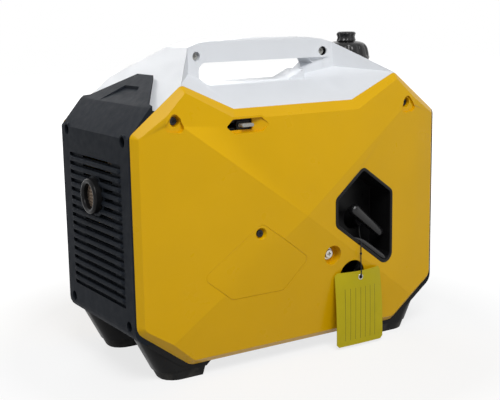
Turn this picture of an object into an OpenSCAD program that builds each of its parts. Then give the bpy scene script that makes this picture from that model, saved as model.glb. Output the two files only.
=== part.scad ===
// Portable inverter generator: faceted side panels on a moulded body with a carrying handle,
// and the engine set inside. Millimetres; the origin is on the floor under the middle of the body,
// +X points to the control panel and -Y to the side with the starter grip.

/* [Body] */
// Length over the two end covers
body_l = 500; // [490:2:520]
// Distance between the seams of the two side panels
seam_w = 212; // [206:2:224]
// Height of the peaks at the top of the side panels
peak_z = 388; // [384:1:394]
// Distance of a peak from the end
peak_in = 76; // [72:1:80]
// Height of the upper corners at the ends
shoulder_z = 329; // [324:1:334]
// Height of the notch between the peaks
notch_z = 353; // [350:1:357]
// Distance of the notch's corners from the middle
notch_x = 97; // [92:1:100]
// Height of the lower corners at the ends
knee_z = 76; // [72:1:80]
// Height of the lower edge of the side panels
sill_z = 19; // [17:1:22]
// Distance of the lower edge's corners from the end
sill_in = 78; // [72:1:84]
// Wall of the moulded shells
wall = 2.5; // [2:0.1:3]
// Gap between neighbouring pieces
gap = 0.3; // [0.25:0.05:0.45]
// How far an end cover stands proud of the side panels' ends
end_proud = 2; // [1:0.5:3]
// How far the end covers reach below the side panels' lower corners
end_drop = 7.5; // [4:0.5:9]
// Length of an end cover along the body
end_cover_l = 38; // [34:1:42]
// Height of the seam between the tray and the end covers
tray_z = 58; // [55:1:61]
// Width of the flanges that the side panels close on
flange_w = 11; // [9:1:12]

/* [Side panels] */
// How far the crown of a side panel stands out from its seam
crown = 29; // [26:1:34]
// Width of the bevel round a side panel
bevel = 8; // [6:0.5:9]
// Radius of a side panel's upper corners
high_corner_r = 9; // [6:1:12]
// Radius of a side panel's lower corners
low_corner_r = 18; // [12:1:24]
// Distance of the upper panel screws from the end
panel_screw_in = 61; // [59:1:64]
// Height of the upper panel screws
panel_screw_z = 344; // [342:1:346]
// Radius of the panel screws
screw_r = 2.5; // [2:0.25:3]
// Radius of the service port under the starter
port_r = 22; // [18:1:23]

/* [Handle] */
// Height of the handle's top
handle_z = 440; // [436:1:446]
// Height of the grip opening's ceiling
grip_top_z = 409; // [406:1:412]
// Height of the deck under the grip opening
deck_z = 379; // [376:1:382]
// Width of the handle
handle_w = 44; // [40:1:50]
// Distance of the handle's bends from the middle
bend_x = 121; // [119:1:124]
// Distance of the handle screws from the middle
handle_screw_x = 106; // [104:1:108]

/* [Feet] */
// Height of the rubber pads
pad_h = 12; // [10:0.5:14]
// Width of a foot across the body
foot_w = 48; // [42:1:54]

/* [Exhaust end] */
// Distance between neighbouring louvres
louvre_pitch = 12.1; // [11.5:0.1:12.6]
// Number of louvres
louvre_count = 16; // [12:1:16]
// Height of the lowest louvre
louvre_z = 106; // [102:1:110]
// Half the width of the louvres
louvre_half_w = 81; // [76:1:84]
// Height of the exhaust outlet
outlet_z = 240; // [236:1:244]
// Outer radius of the exhaust outlet ring
outlet_r = 24; // [22:0.5:27]
// Radius of the exhaust outlet's bore
outlet_bore_r = 18; // [15:0.5:19]

/* [Starter] */
// Distance of the starter rope from the control end
rope_in = 125.5; // [123:0.5:128]
// Height of the starter rope
rope_z = 176; // [173:1:179]
// Radius of the starter rope
rope_r = 2; // [1.5:0.25:2.5]
// Winding radius of the recoil pulley
pulley_r = 47; // [44:1:49]
// Length of the starter grip
grip_l = 74; // [68:1:76]
// Thickness of the starter grip
grip_t = 17; // [14:0.5:19]
// Depth of the recess round the starter grip, from the seam inwards
recess_depth = 34; // [32:1:36]

/* [Engine set] */
// Radius of the crankshaft
shaft_r = 10; // [8:0.5:11]
// Running clearance between the crankshaft or the recoil pulley and its bearing
run_fit = 0.05; // [0.02:0.01:0.08]
// Radius of the crankcase
case_r = 58; // [54:1:60]
// Outer radius of the alternator rotor
rotor_r = 50; // [46:1:52]
// Tip radius of the cooling fan
fan_r = 60; // [56:1:62]
// Number of fan blades
blade_count = 12; // [9:1:16]
// Outer radius of the fan shroud
shroud_r = 66.5; // [65.5:0.5:68]
// Radius of the muffler
muffler_r = 42; // [36:1:46]
// Height of the fuel tank's floor
tank_z = 266; // [264:1:268]
// Height of the fuel tank's roof
tank_top_z = 336; // [330:1:338]
// Radius of the filler neck
neck_r = 24; // [20:1:27]

/* [Fuel cap] */
// Distance of the fuel cap from the control end
cap_in = 65; // [63:1:68]
// Offset of the fuel cap towards the far side
cap_y = 20; // [16:1:24]
// Radius of the fuel cap's skirt
cap_r = 36; // [34:1:38]
// Height of the filler turret that the cap closes
turret_z = 401; // [398:1:403]

/* [Control panel] */
// Half the width of the control panel
panel_half_w = 88; // [84:1:90]
// Height of the control panel's lower edge
panel_low_z = 138; // [134:1:142]
// Height of the control panel's upper edge
panel_high_z = 306; // [302:1:310]
// Radius of the cup in an AC outlet
socket_r = 19.5; // [19:0.25:20]

/* [Tag] */
// Width of the hang tag
tag_w = 83; // [70:1:90]
// Height of the hang tag
tag_h = 108; // [90:1:110]

/* [Hidden] */
$fn = 64;

// Body
end_x = body_l / 2;
panel_x = end_x - end_proud;
peak_x = end_x - peak_in;
sill_x = end_x - sill_in;
end_seam_x = end_x - end_cover_l;
panel_screw_x = end_x - panel_screw_in;
rope_x = end_x - rope_in;
cap_x = end_x - cap_in;
seam_y = seam_w / 2;
side_y = seam_y - gap;
apex_z = (peak_z + sill_z) / 2;
far = 2 * body_l;
roof_slope = (peak_z - shoulder_z) / (panel_x - peak_x);
sill_slope = (knee_z - sill_z) / (panel_x - sill_x);

// Outlines in the XZ plane, clockwise seen from -Y
right_of_panel = [
  [notch_x, notch_z], [peak_x, peak_z], [panel_x, shoulder_z], [panel_x, knee_z], [sill_x, sill_z]
];
right_of_body = [
  [notch_x, notch_z], [peak_x, peak_z], [end_x, roof_z(end_x)], [end_x, knee_z - end_drop],
  [sill_x + end_drop / sill_slope + end_proud, sill_z]
];
right_radii = [0, high_corner_r, high_corner_r, low_corner_r, low_corner_r];
corner_radii = concat(right_radii, [for (i = [len(right_radii) - 1 : -1 : 0]) right_radii[i]]);
panel_outline = rounded(both_halves(right_of_panel), corner_radii, 3);
body_corners = both_halves(right_of_body);

// Openings in the near side panel, for the starter, maintenance cover, choke, screws, bolt and port
recess_x1 = rope_x + 34.5;
recess_corners = [
  [recess_x1 - 56, 258], [recess_x1, 219], [recess_x1, 103], [recess_x1 - 107, 181.5],
  [recess_x1 - 107, 219]
];
recess_radii = [8, 9, 13, 8, 8];
hatch_corners = [[-70, 201], [7, 143], [-33, 102], [-115, 102], [-158, 137]];
hatch_radii = [9, 8, 8, 8, 8];
choke_corners = [[-106, 341], [-62, 341], [-51, 331.5], [-62, 322], [-106, 322], [-117, 331.5]];
choke_radii = [4, 4, 2, 4, 4, 2];
choke_floor_y = seam_y + 6;
choke_slot = [[-105.5, 339.5], [-73, 339.5], [-73, 325.5], [-108, 325.5], [-115, 331.5]];
choke_slot_radii = [3, 2, 2, 3, 2];
pocket_corners = [[1, 15], [20, -12], [-15, -16]];
pocket_radii = [6, 6, 6];
pocket_d = 4;
screw_hole_r = 7;
hatch_screw_at = [-72, 187];
hatch_hole_r = 6;
hatch_hole_d = 5;
ledge_w = 4;
lug_r = 12;
lug_t = 4;
bolt_at = [rope_x - 76.5, 140];
bolt_recess_r = 14;
bolt_floor = 8;
bolt_r = 3;
port_at = [rope_x - 39.5, 105];

// Vents in the far side panel
vent_pitch = 12.1;
vent_count = 5;
vent_l = 70;
vent_h = 6;

// Tray, legs and engine mounts
leg_corners = [
  [sill_x - 33, sill_z + 1], [sill_x - 33, sill_z - 1], [sill_x - 26, pad_h], [end_x, pad_h],
  [end_x - 2, knee_z - end_drop - 1], [sill_x + 12, sill_z + 1.5]
];
pad_corners = [[sill_x - 25, pad_h], [sill_x - 21, 0], [end_x, 0], [end_x, pad_h]];
leg_foot_x = sill_x + 41;
leg_lean = 27.5;
leg_end_r = 20;
foot_y0 = side_y - 2 - foot_w;
foot_y1 = side_y - 2;
floor_z = sill_z + wall;
mount_r = 11;
mount_h = 16;

// Top cover and handle
handle_half = handle_w / 2;
grip_end_x = handle_screw_x - 4;
deck_y = handle_half + 23;
post_at = [[-60, 38], [notch_x - 4.5, 38]];

// Exhaust end
bib_shoulder = [end_x - 30.6, shoulder_z + 32];
bib_top = [peak_x - 4, peak_z + 8];
bib_top_half = 23.5;
bib_slope = (bib_top[1] - bib_shoulder[1]) / (bib_shoulder[0] - bib_top[0]);
scoop_x0 = bib_shoulder[0] - 1.4;
scoop_x1 = bib_top[0] + 20;
scoop_d = 4;
louvre_h = 5.5;
louvre_through = 46;
deep_screw_y = 88.5;
deep_screw_low = 81.5;
deep_screw_high = 320.5;
deep_r = 7;
deep_depth = 17;
cover_low_z = deep_screw_high - 9;
intake_count = 4;

// Starter
crank_z = rope_z - pulley_r;
recess_floor = seam_y - recess_depth;
guide_r = 9;
guide_flange = 2;
guide_y = recess_floor + 21.5;
grip_y = guide_y + 6 + grip_t / 2;
grip_angle = 39.6;
groove_w = 6;
flange_t = 2;
pulley_x0 = rope_x - groove_w / 2 - flange_t;
pulley_x1 = rope_x + groove_w / 2 + flange_t;
post_r = 8;
housing_x1 = pulley_x1 + 14;
shroud_split = pulley_x0 - 8;
cup_x1 = shroud_split - 2;

// Choke
bezel_back_y = side_y - wall - gap;
bezel_y = choke_floor_y - wall - gap;
lever_w = 18;
lever_base_w = lever_w + 8;
lever_x = choke_slot[1][0] - lever_w / 2 - 0.5;
choke_travel = 20;
choke_z = choke_slot[4][1];
choke_slide_x = lever_x - choke_travel / 2;

// Fuel tank and cap
tank_half_w = side_y - 20;
tank_x0 = -95;
tank_x1 = end_x - 45;
tank_wall = 3;
lobe_count = 12;
cap_z = turret_z + 2 * gap;
cap_h = 27;
knob_r = 15.4;
knob_h = 14;
knob_z = cap_z + cap_h + gap;

// Engine
case_x0 = -62;
case_x1 = rope_x - 76.5;
case_bottom = floor_z + mount_h;
mount_at = [[case_x0 + 16, 44], [case_x1 - 14, 44]];
cylinder_x = (case_x0 + case_x1) / 2 - 3;
bore_half = 38;
barrel_z0 = crank_z + case_r;
head_z1 = tank_z - 16;
port_z = outlet_z;
head_z0 = port_z - 17;
filler_at = [cylinder_x - 28, 106];
rotor_x0 = case_x1 + 12;
shroud_x0 = case_x1 + 8.5;
inverter_x0 = recess_x1 + 9.5;
inverter_z1 = tank_z - 40;
rotor_x1 = rotor_x0 + 30;
stator_r = rotor_r - 5;
pole_count = 12;
fan_x0 = rotor_x1;
carb_y = -bore_half - 1;
filter_x0 = case_x0 - 66;
filter_x1 = cylinder_x - 24;
filter_y0 = 14 - side_y;
filter_y1 = carb_y - 4;
filter_z0 = 160;
filter_z1 = 222;
muffler_x0 = 28 - end_x;
muffler_x1 = case_x0 - 60;

// Control panel
face_x = end_x - 1;
plate_x = end_x - 4;
outlet_at = [[46, 270], [46, 208]];
socket_body_r = socket_r + 2;
dc_at = [-52, 208];
dc_r = 10.5;
dial_at = [-52, 268];
dial_r = 20;
economy_at = [-12, 246];
rocker_w = 13;
rocker_h = 24;
rocker_axis_x = plate_x - 1;
ac_breaker_at = [46, 164];
dc_breaker_at = [-52, 168];
button_r = 5;
earth_at = [-12, 164];
lamp_at = [for (k = [0 : 2]) [-12, 290 - k * 11]];

// Hang tag
tag_mid = [rope_x - 31.5, 58];
tag_y = -133;
tag_t = 0.8;
tag_hole_z = tag_mid[1] + tag_h / 2 - 9;
string_r = 0.8;
string_route = [for (p = [
  [-5.5, -97, -4.5], [-7.5, -99, -9], [-12.5, -106, -17], [-20.5, -119, -24], [-26.5, -127, -25],
  [-29, -130.5, -30], [-30, -131.5, -40], [-31, -133, -54], [-31.5, -134.6, -64], [-31.5, -135, -70]
]) p + [rope_x, 0, rope_z]];

// Height of the body's sloping roof over a place x
function roof_z(x) = peak_z - (abs(x) - peak_x) * roof_slope;
function unit(v) = v / norm(v);
function both_halves(half) =
  concat(half, [for (i = [len(half) - 1 : -1 : 0]) [-half[i][0], half[i][1]]]);
function wrap(points, i) = points[(i + len(points)) % len(points)];
// Inward normal of the edge that starts at corner i of a clockwise outline
function inward(points, i) =
  let (d = unit(wrap(points, i + 1) - wrap(points, i))) [d[1], -d[0]];
// How corner i moves when its outline shrinks by one unit
function mitre(points, i) =
  let (a = inward(points, i - 1), b = inward(points, i)) (a + b) / (1 + a * b);
function inset(points, t) = [for (i = [0 : len(points) - 1]) points[i] + t * mitre(points, i)];
// A clockwise outline with its corners rounded to the given radii
function rounded(points, radii, steps = 5) = [
  for (i = [0 : len(points) - 1])
    let (a = inward(points, i - 1), b = inward(points, i), centre = points[i] + radii[i] * mitre(points, i))
      for (s = [0 : radii[i] == 0 ? 0 : steps]) centre - radii[i] * unit(a * (steps - s) + b * s)
];

// ---- ways to place a shape ----

module along_x(x0, x1) {
  translate([x0, 0, 0]) rotate([90, 0, 90]) linear_extrude(x1 - x0) children();
}
module along_y(y0, y1) {
  translate([0, y1, 0]) rotate([90, 0, 0]) linear_extrude(y1 - y0) children();
}
module along_z(z0, z1) {
  translate([0, 0, z0]) linear_extrude(z1 - z0) children();
}
module both_sides() {
  children();
  mirror([0, 1, 0]) children();
}
module both_ends() {
  children();
  mirror([1, 0, 0]) children();
}
module rod_x(r, x0, x1, y = 0, z = 0) {
  translate([x0, y, z]) rotate([0, 90, 0]) cylinder(r = r, h = x1 - x0);
}
module rod_y(r, y0, y1, x = 0, z = 0) {
  translate([x, y1, z]) rotate([90, 0, 0]) cylinder(r = r, h = y1 - y0);
}
module rod_z(r, z0, z1, x = 0, y = 0) {
  translate([x, y, z0]) cylinder(r = r, h = z1 - z0);
}
module box(low, high) {
  translate(low) cube(high - low);
}
// A square with chamfered corners, centred
module chamfered_square(w, h, c) {
  polygon([
    [-w / 2 + c, -h / 2], [w / 2 - c, -h / 2], [w / 2, -h / 2 + c], [w / 2, h / 2 - c],
    [w / 2 - c, h / 2], [-w / 2 + c, h / 2], [-w / 2, h / 2 - c], [-w / 2, -h / 2 + c]
  ]);
}
// A slot with round ends, centred, w long over its ends
module stadium(w, h) {
  square([w - h, h], center = true);
  for (s = [-1, 1]) translate([s * (w - h) / 2, 0]) circle(h / 2);
}
// Everything below the plane through three points
module below_plane(p, q, r) {
  n = unit(cross(q - p, r - p)) * sign(cross(q - p, r - p)[2]);
  translate(p) rotate([0, acos(n[2]), atan2(n[1], n[0])])
    translate([-far, -far, -2 * far]) cube([2 * far, 2 * far, 2 * far]);
}

// ---- faceted form of a side panel, drawn on the +Y side ----

// Everything inward of one edge of the outline, with the rim's bevel rising from y0
module inside_edge(outline, i, y0) {
  p = outline[i];
  q = wrap(outline, i + 1);
  rise = 2 * crown;
  translate([p[0], 0, p[1]]) rotate([0, -atan2(q[1] - p[1], q[0] - p[0]), 0]) along_x(-far, far)
    polygon([[0, 0], [y0, 0], [y0 + rise, -rise], [y0 + rise, -far], [0, -far]]);
}
// Wedge under two sloping faces that meet in the crown's ridge
module crown_wedge(half_l, t) {
  top = seam_y + crown - t;
  drop = (crown - bevel) / (half_l - bevel) * far;
  polygon([[-far, 0], [-far, top - drop], [0, top], [far, top - drop], [far, 0]]);
}
// Faceted front of a panel, t inside its surface, without the panel's outline
module panel_face(t) {
  intersection() {
    box([-far, t > 0 ? seam_y - 1 : seam_y, 0], [far, far, far]);
    along_z(0, far) crown_wedge(panel_x, t);
    translate([0, 0, apex_z]) rotate([0, 90, 0]) along_z(-far, far) crown_wedge(peak_z - apex_z, t);
  }
}
// A panel's form: its face within all the edges, where the edges that climb from the notch
// to the peaks bound only their own side
module panel_form(t) {
  outline = inset(panel_outline, t);
  last = len(outline) - 1;
  y0 = seam_y - t / 2;
  climb = len([for (i = [0 : last / 2]) if (outline[i + 1][1] > outline[i][1]) i]);
  intersection() {
    panel_face(t);
    intersection_for(i = [climb : last - 1 - climb]) inside_edge(outline, i, y0);
    union() {
      inside_edge(outline, last, y0);
      intersection_for(i = [0 : climb - 1]) inside_edge(outline, i, y0);
      intersection_for(i = [last - climb : last - 1]) inside_edge(outline, i, y0);
    }
  }
}
module face_layer(outer, inner) {
  difference() {
    panel_face(outer);
    panel_face(inner);
  }
}
module panel_pocket_outline(grow) {
  outline = inset(pocket_corners, -grow);
  polygon(rounded(outline, [for (r = pocket_radii) r + grow]));
}
module at_panel_screws() {
  both_ends() translate([panel_screw_x, 0, panel_screw_z]) children();
}
// Panel shell with the pockets of its upper screws, shared by both sides
module panel_shell() {
  pocket_y = crown_y([panel_screw_x, panel_screw_z]) - pocket_d;
  difference() {
    union() {
      difference() {
        panel_form(0);
        panel_form(wall);
      }
      intersection() {
        panel_form(0);
        at_panel_screws() along_y(seam_y, seam_y + crown) panel_pocket_outline(wall);
      }
    }
    at_panel_screws() along_y(pocket_y, far) panel_pocket_outline(0);
    at_panel_screws() rod_y(screw_hole_r, seam_y + 1, far);
    at_panel_screws() rod_y(screw_r + gap, 0, far);
  }
}
// Hollow of the choke's pocket: a flat floor that slopes up to the surface beside the slot
module choke_hollow() {
  slope_x = choke_slot[1][0] + 2;
  intersection() {
    along_y(0, far) choke_outline(0);
    along_z(0, far) polygon([
      [-far, choke_floor_y], [slope_x, choke_floor_y], [choke_corners[2][0], crown_y(choke_corners[2])],
      [choke_corners[2][0], far], [-far, far]
    ]);
  }
}

module near_side_panel() {
  color("gold") mirror([0, 1, 0]) {
    difference() {
      union() {
        panel_shell();
        intersection() {
          panel_face(0);
          union() {
            along_y(seam_y, far) translate(bolt_at) circle(bolt_recess_r + wall);
            along_y(choke_floor_y - wall, far) choke_outline(-wall);
          }
        }
      }
      along_y(0, far) polygon(rounded(recess_corners, recess_radii));
      along_y(0, far) polygon(rounded(hatch_corners, hatch_radii));
      choke_hollow();
      along_y(0, far) polygon(rounded(choke_slot, choke_slot_radii));
      along_y(seam_y + bolt_floor, far) translate(bolt_at) circle(bolt_recess_r);
      along_y(0, far) translate(bolt_at) circle(bolt_r + gap);
      along_y(0, far) translate(port_at) circle(port_r);
    }
    hatch_ledge();
  }
}

module hatch_outline(grow) {
  polygon(rounded(inset(hatch_corners, -grow), [for (r = hatch_radii) r + grow]));
}
// Ledge and screw lug behind the maintenance opening, which the cover lies on
module hatch_ledge() {
  under = wall + gap;
  lug_y = crown_y(hatch_screw_at) - hatch_hole_d - under;
  difference() {
    union() {
      intersection() {
        along_y(0, far) hatch_outline(ledge_w);
        face_layer(wall - 0.1, under + wall);
      }
      intersection() {
        panel_face(wall - 0.1);
        at_hatch_screw() rod_y(lug_r, lug_y - lug_t, far);
      }
    }
    along_y(0, far) difference() {
      hatch_outline(-ledge_w);
      translate(hatch_screw_at) circle(lug_r);
    }
    intersection() {
      along_y(0, far) hatch_outline(0);
      difference() {
        box([-far, 0, 0], [far, far, far]);
        panel_face(under);
      }
    }
    at_hatch_screw() rod_y(hatch_hole_r + wall + gap, lug_y, far);
    at_hatch_screw() rod_y(screw_r - 0.2, 0, far);
  }
}
module at_hatch_screw() {
  translate([hatch_screw_at[0], 0, hatch_screw_at[1]]) children();
}

module far_side_panel() {
  color("gold") difference() {
    panel_shell();
    for (k = [0 : vent_count - 1])
      along_y(0, far) translate([sill_x - vent_l / 3, knee_z + 16 + k * vent_pitch]) stadium(vent_l, vent_h);
  }
}

// Cover whose screw sits at the bottom of a tapered cup
module maintenance_cover() {
  cup_y = crown_y(hatch_screw_at) - hatch_hole_d;
  color("goldenrod") mirror([0, 1, 0]) difference() {
    union() {
      intersection() {
        along_y(0, far) hatch_outline(-gap);
        face_layer(0, wall);
      }
      intersection() {
        panel_face(0);
        at_hatch_screw() rod_y(hatch_hole_r + wall, cup_y - wall, far);
      }
    }
    at_hatch_screw() rotate([-90, 0, 0]) translate([0, 0, cup_y])
      cylinder(r1 = hatch_hole_r, r2 = hatch_hole_r + 4, h = 2 * hatch_hole_d);
    at_hatch_screw() rod_y(screw_r + gap, 0, far);
  }
}

// Outward distance of a side panel's surface at a place
function crown_y(at) = seam_y + crown - max(
  abs(at[0]) * (crown - bevel) / (panel_x - bevel),
  abs(at[1] - apex_z) * (crown - bevel) / (peak_z - apex_z - bevel));

// A screw along Y: its head lies outside head_y, its shank runs inwards
module screw_in(head_y, head_r, head_h, shank_r, shank_l) {
  difference() {
    rod_y(head_r, head_y, head_y + head_h);
    translate([0, head_y + head_h * 0.4, 0]) cross_recess(head_r, head_h);
  }
  rod_y(shank_r, head_y - shank_l, head_y);
}
module cross_recess(head_r, head_h) {
  for (w = [[1, 0.22], [0.22, 1]])
    box([-w[0] * head_r / 2, 0, -w[1] * head_r / 2], [w[0] * head_r / 2, head_h, w[1] * head_r / 2]);
}

module maintenance_screw() {
  color("dimgray") mirror([0, 1, 0]) at_hatch_screw()
    screw_in(crown_y(hatch_screw_at) - hatch_hole_d, 2 * screw_r - 0.2, 2.5, screw_r - 0.3, wall + gap + lug_t);
}

module side_panel_screws() {
  bolt_y = seam_y + bolt_floor;
  color("dimgray") {
    both_sides() at_panel_screws() screw_in(seam_y + 1, 2 * screw_r, 3, screw_r - 0.3, 14);
    mirror([0, 1, 0]) translate([bolt_at[0], 0, bolt_at[1]]) {
      rod_y(3 * bolt_r, bolt_y, bolt_y + 1.2);
      screw_in(bolt_y, 2 * bolt_r, 5, bolt_r - 0.2, 24);
    }
  }
}

// ---- body ring: end covers, top cover and tray are cut from one band ----

module body_band() {
  radii = [for (r = corner_radii) max(0, r - wall)];
  difference() {
    along_y(-side_y, side_y) polygon(rounded(body_corners, corner_radii, 3));
    along_y(wall - side_y, side_y - wall) polygon(rounded(inset(body_corners, wall), radii, 3));
    along_y(-far, far) polygon(inset(body_corners, flange_w));
  }
}

// Tray with its legs

module base_tray() {
  color([0.09, 0.09, 0.1]) {
    intersection() {
      union() {
        body_band();
        both_sides() both_ends() intersection() {
          along_y(foot_y0, foot_y1) polygon(leg_corners);
          leg_column(0);
        }
      }
      box([-far, -far, pad_h], [far, far, tray_z]);
    }
    both_sides() for (at = mount_at) difference() {
      rod_z(mount_r + 3, sill_z + 1, floor_z + 3, at[0], at[1]);
      rod_z(mount_r, floor_z, far, at[0], at[1]);
    }
    both_sides() both_ends() difference() {
      end_block(sill_z + 20, deep_screw_low + 9);
      rod_x(screw_r - 0.2, end_seam_x - 13, far, deep_screw_y, deep_screw_low);
    }
  }
}
// Leaning column with a round outer end that a leg and its pad are cut from
module leg_column(t) {
  plan = [[-end_x, foot_y1 - t], [-t, foot_y1 - t], [-t, foot_y0 + t], [-end_x, foot_y0 + t]];
  translate([leg_foot_x, 0, pad_h]) rotate([0, leg_lean, 0]) along_z(-end_x, end_x)
    polygon(rounded(plan, [0, leg_end_r, leg_end_r, 0]));
}
module rubber_feet() {
  foot_y = (foot_y0 + foot_y1) / 2;
  color([0.05, 0.05, 0.05]) both_sides() both_ends() difference() {
    intersection() {
      along_y(foot_y0, foot_y1) polygon(pad_corners);
      leg_column(1);
    }
    for (k = [-1, 1]) box([sill_x - 14, foot_y + k * 13 - 2, -1], [sill_x + 22, foot_y + k * 13 + 2, 1.5]);
  }
}
module engine_mounts() {
  color([0.07, 0.07, 0.07]) both_sides() for (at = mount_at) translate([at[0], at[1], 0]) {
    rod_z(mount_r - gap, floor_z, floor_z + 5);
    rod_z(mount_r - 3, floor_z + 5, floor_z + mount_h - 4);
    rod_z(mount_r - 1, floor_z + mount_h - 4, floor_z + mount_h);
  }
}

// ---- top cover ----

module roof_profile(t) {
  side = [
    [end_seam_x - gap, notch_z - 60], [end_seam_x - gap, roof_z(end_seam_x - gap)],
    [peak_x, peak_z], [bend_x, roof_z(bend_x)], [bend_x - 17, handle_z - 4.5], [bend_x - 38, handle_z - 1.2]
  ];
  outline = concat([[0, handle_z]], [for (i = [5 : -1 : 0]) side[i]], [for (p = side) [-p[0], p[1]]]);
  polygon(t > 0 ? inset(outline, t) : outline);
}
// Plan of the handle and the blocks at its ends
module handle_plan(t) {
  quarter = [
    [end_seam_x + 20, side_y], [peak_x, side_y], [bend_x, handle_half + 8], [bend_x - 36, handle_half]
  ];
  back = [for (p = quarter) [-p[0], p[1]]];
  upper = concat(back, [for (i = [3 : -1 : 0]) quarter[i]]);
  outline = concat(upper, [for (i = [7 : -1 : 0]) [upper[i][0], -upper[i][1]]]);
  polygon(t > 0 ? inset(outline, t) : outline);
}
module deck_profile(t) {
  polygon([
    [-side_y + t, 0], [-side_y + t, notch_z - t], [-deck_y, deck_z - t], [deck_y, deck_z - t],
    [side_y - t, notch_z - t], [side_y - t, 0]
  ]);
}
// Deck facet that rises from a notch corner to a peak
module deck_corner(t) {
  below_plane([peak_x, side_y, peak_z - t], [notch_x, side_y, notch_z - t],
              [bend_x - 6, handle_half + 5, deck_z + 15 - t]);
}
module cover_form(t) {
  intersection() {
    along_y(t - side_y, side_y - t) roof_profile(t);
    union() {
      along_x(-end_seam_x, end_seam_x) deck_profile(t);
      both_sides() both_ends() intersection() {
        deck_corner(t);
        box([0, 0, 0], [far, far, far]);
      }
      intersection() {
        along_z(notch_z - 60, far) handle_plan(t);
        if (t == 0) handle_edges();
      }
    }
  }
}
// Chamfers along the top edges of the handle
module handle_edges() {
  along_x(-far, far) polygon([
    [-far, 0], [-side_y, notch_z + 46], [-handle_half + 8, handle_z + 0.5],
    [handle_half - 8, handle_z + 0.5], [side_y, notch_z + 46], [far, 0]
  ]);
}
module grip_opening() {
  r = 12;
  along_y(-far, far) difference() {
    translate([-grip_end_x, deck_z]) square([grip_end_x + 0.01, grip_top_z - deck_z]);
    for (c = [[deck_z + r, -90], [grip_top_z - r, 90]]) difference() {
      translate([-grip_end_x - 1, c[1] < 0 ? deck_z - 1 : grip_top_z - r])
        square([r + 1, r + 1]);
      translate([-grip_end_x + r, c[0]]) circle(r);
    }
  }
  along_y(-far, far) polygon([
    [0, deck_z], [0, grip_top_z], [grip_end_x - 14, grip_top_z], [grip_end_x - 8, deck_z + 22],
    [handle_screw_x - 60, deck_z]
  ]);
}
// Finger scoops that narrow the pillar at the control panel's end of the handle
module finger_scoops() {
  both_sides() along_z(deck_z, grip_top_z)
    polygon([
      [grip_end_x - 26, 8], [bend_x - 3, handle_half + 7.6], [bend_x - 3, far], [grip_end_x - 26, far]
    ]);
}
module cover_solid() {
  difference() {
    cover_form(0);
    difference() {
      grip_opening();
      box([0, -far, 0], [far, far, far]);
    }
    difference() {
      union() {
        grip_opening();
        finger_scoops();
      }
      box([-far, -far, 0], [0, far, far]);
      both_sides() both_ends() intersection() {
        deck_corner(0);
        box([0, -1, 0], [far, far, far]);
      }
    }
  }
}
module top_cover() {
  color("whitesmoke") difference() {
    union() {
      difference() {
        cover_solid();
        difference() {
          cover_form(wall);
          box([-grip_end_x - 6, -far, deck_z - wall - 0.5], [grip_end_x + 6, far, far]);
        }
        box([-far, -far, 0], [far, far, cover_low_z]);
        intersection() {
          along_y(-far, far) polygon(inset(body_corners, flange_w));
          box([16 - peak_x, -far, 0], [peak_x - 16, far, far]);
        }
      }
      intersection() {
        cover_form(0);
        rod_z(cap_r + 2 + wall, turret_z - wall, far, cap_x, cap_y);
      }
      turret();
      both_sides() both_ends() {
        boss_y(panel_screw_x, panel_screw_z);
        end_block(cover_low_z, deep_screw_high + 12);
      }
      both_sides() for (at = post_at) rod_z(6, tank_top_z, deck_z - 1, at[0], at[1]);
    }
    rod_z(cap_r + 2, turret_z, far, cap_x, cap_y);
    rod_z(neck_r + gap, 0, far, cap_x, cap_y);
    both_sides() both_ends() {
      rod_y(screw_r - 0.2, side_y - 14, far, panel_screw_x, panel_screw_z);
      rod_y(6.5, handle_half - 3, far, handle_screw_x, grip_top_z + 9);
      rod_y(screw_r - 0.2, handle_half - 16, far, handle_screw_x, grip_top_z + 9);
      rod_x(screw_r - 0.2, end_seam_x - 13, far, deep_screw_y, deep_screw_high);
    }
  }
}
// Block that an end cover's deep screw goes into
module end_block(low_z, high_z) {
  box([end_seam_x - 15, deep_screw_y - 8, low_z], [end_seam_x - gap, side_y, high_z]);
}
module boss_y(x, z) {
  rod_y(6, side_y - 18, side_y, x, z);
}
// Round turret that carries the fuel cap clear of the sloping roof and of the end cover
module turret() {
  difference() {
    rod_z(cap_r - 1, roof_z(cap_x + cap_r), turret_z, cap_x, cap_y);
    rod_z(cap_r - 1 - wall, 0, turret_z - wall, cap_x, cap_y);
    along_y(-far, far) polygon([
      [end_seam_x - gap, 0], [end_seam_x - gap, roof_z(end_seam_x) + 2 * gap],
      [end_x, roof_z(end_x) + 2 * gap], [end_x, 0]
    ]);
  }
}
module handle_screws() {
  color("dimgray") both_sides() both_ends() translate([handle_screw_x, 0, grip_top_z + 9])
    screw_in(handle_half - 3, 2 * screw_r, 2.5, screw_r - 0.3, 12);
}

// ---- exhaust end ----

module bib() {
  intersection() {
    along_z(0, far) polygon([
      [-end_x, -side_y], [-end_x, side_y], [-end_seam_x - 3, side_y], [-end_seam_x, side_y - 16],
      [-bib_top[0], bib_top_half], [-bib_top[0], -bib_top_half], [-end_seam_x, 16 - side_y],
      [-end_seam_x - 3, -side_y]
    ]);
    along_y(-side_y, side_y) polygon([
      [-end_x, shoulder_z - 14], [-end_x, shoulder_z - 4], [-bib_shoulder[0], bib_shoulder[1]],
      [-bib_top[0], bib_top[1]], [-bib_top[0], roof_z(bib_top[0]) + gap],
      [-end_seam_x, roof_z(end_seam_x) + gap], [-end_seam_x, roof_z(end_seam_x) - wall],
      [wall - end_x, shoulder_z - 4 - wall]
    ]);
  }
}
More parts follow.
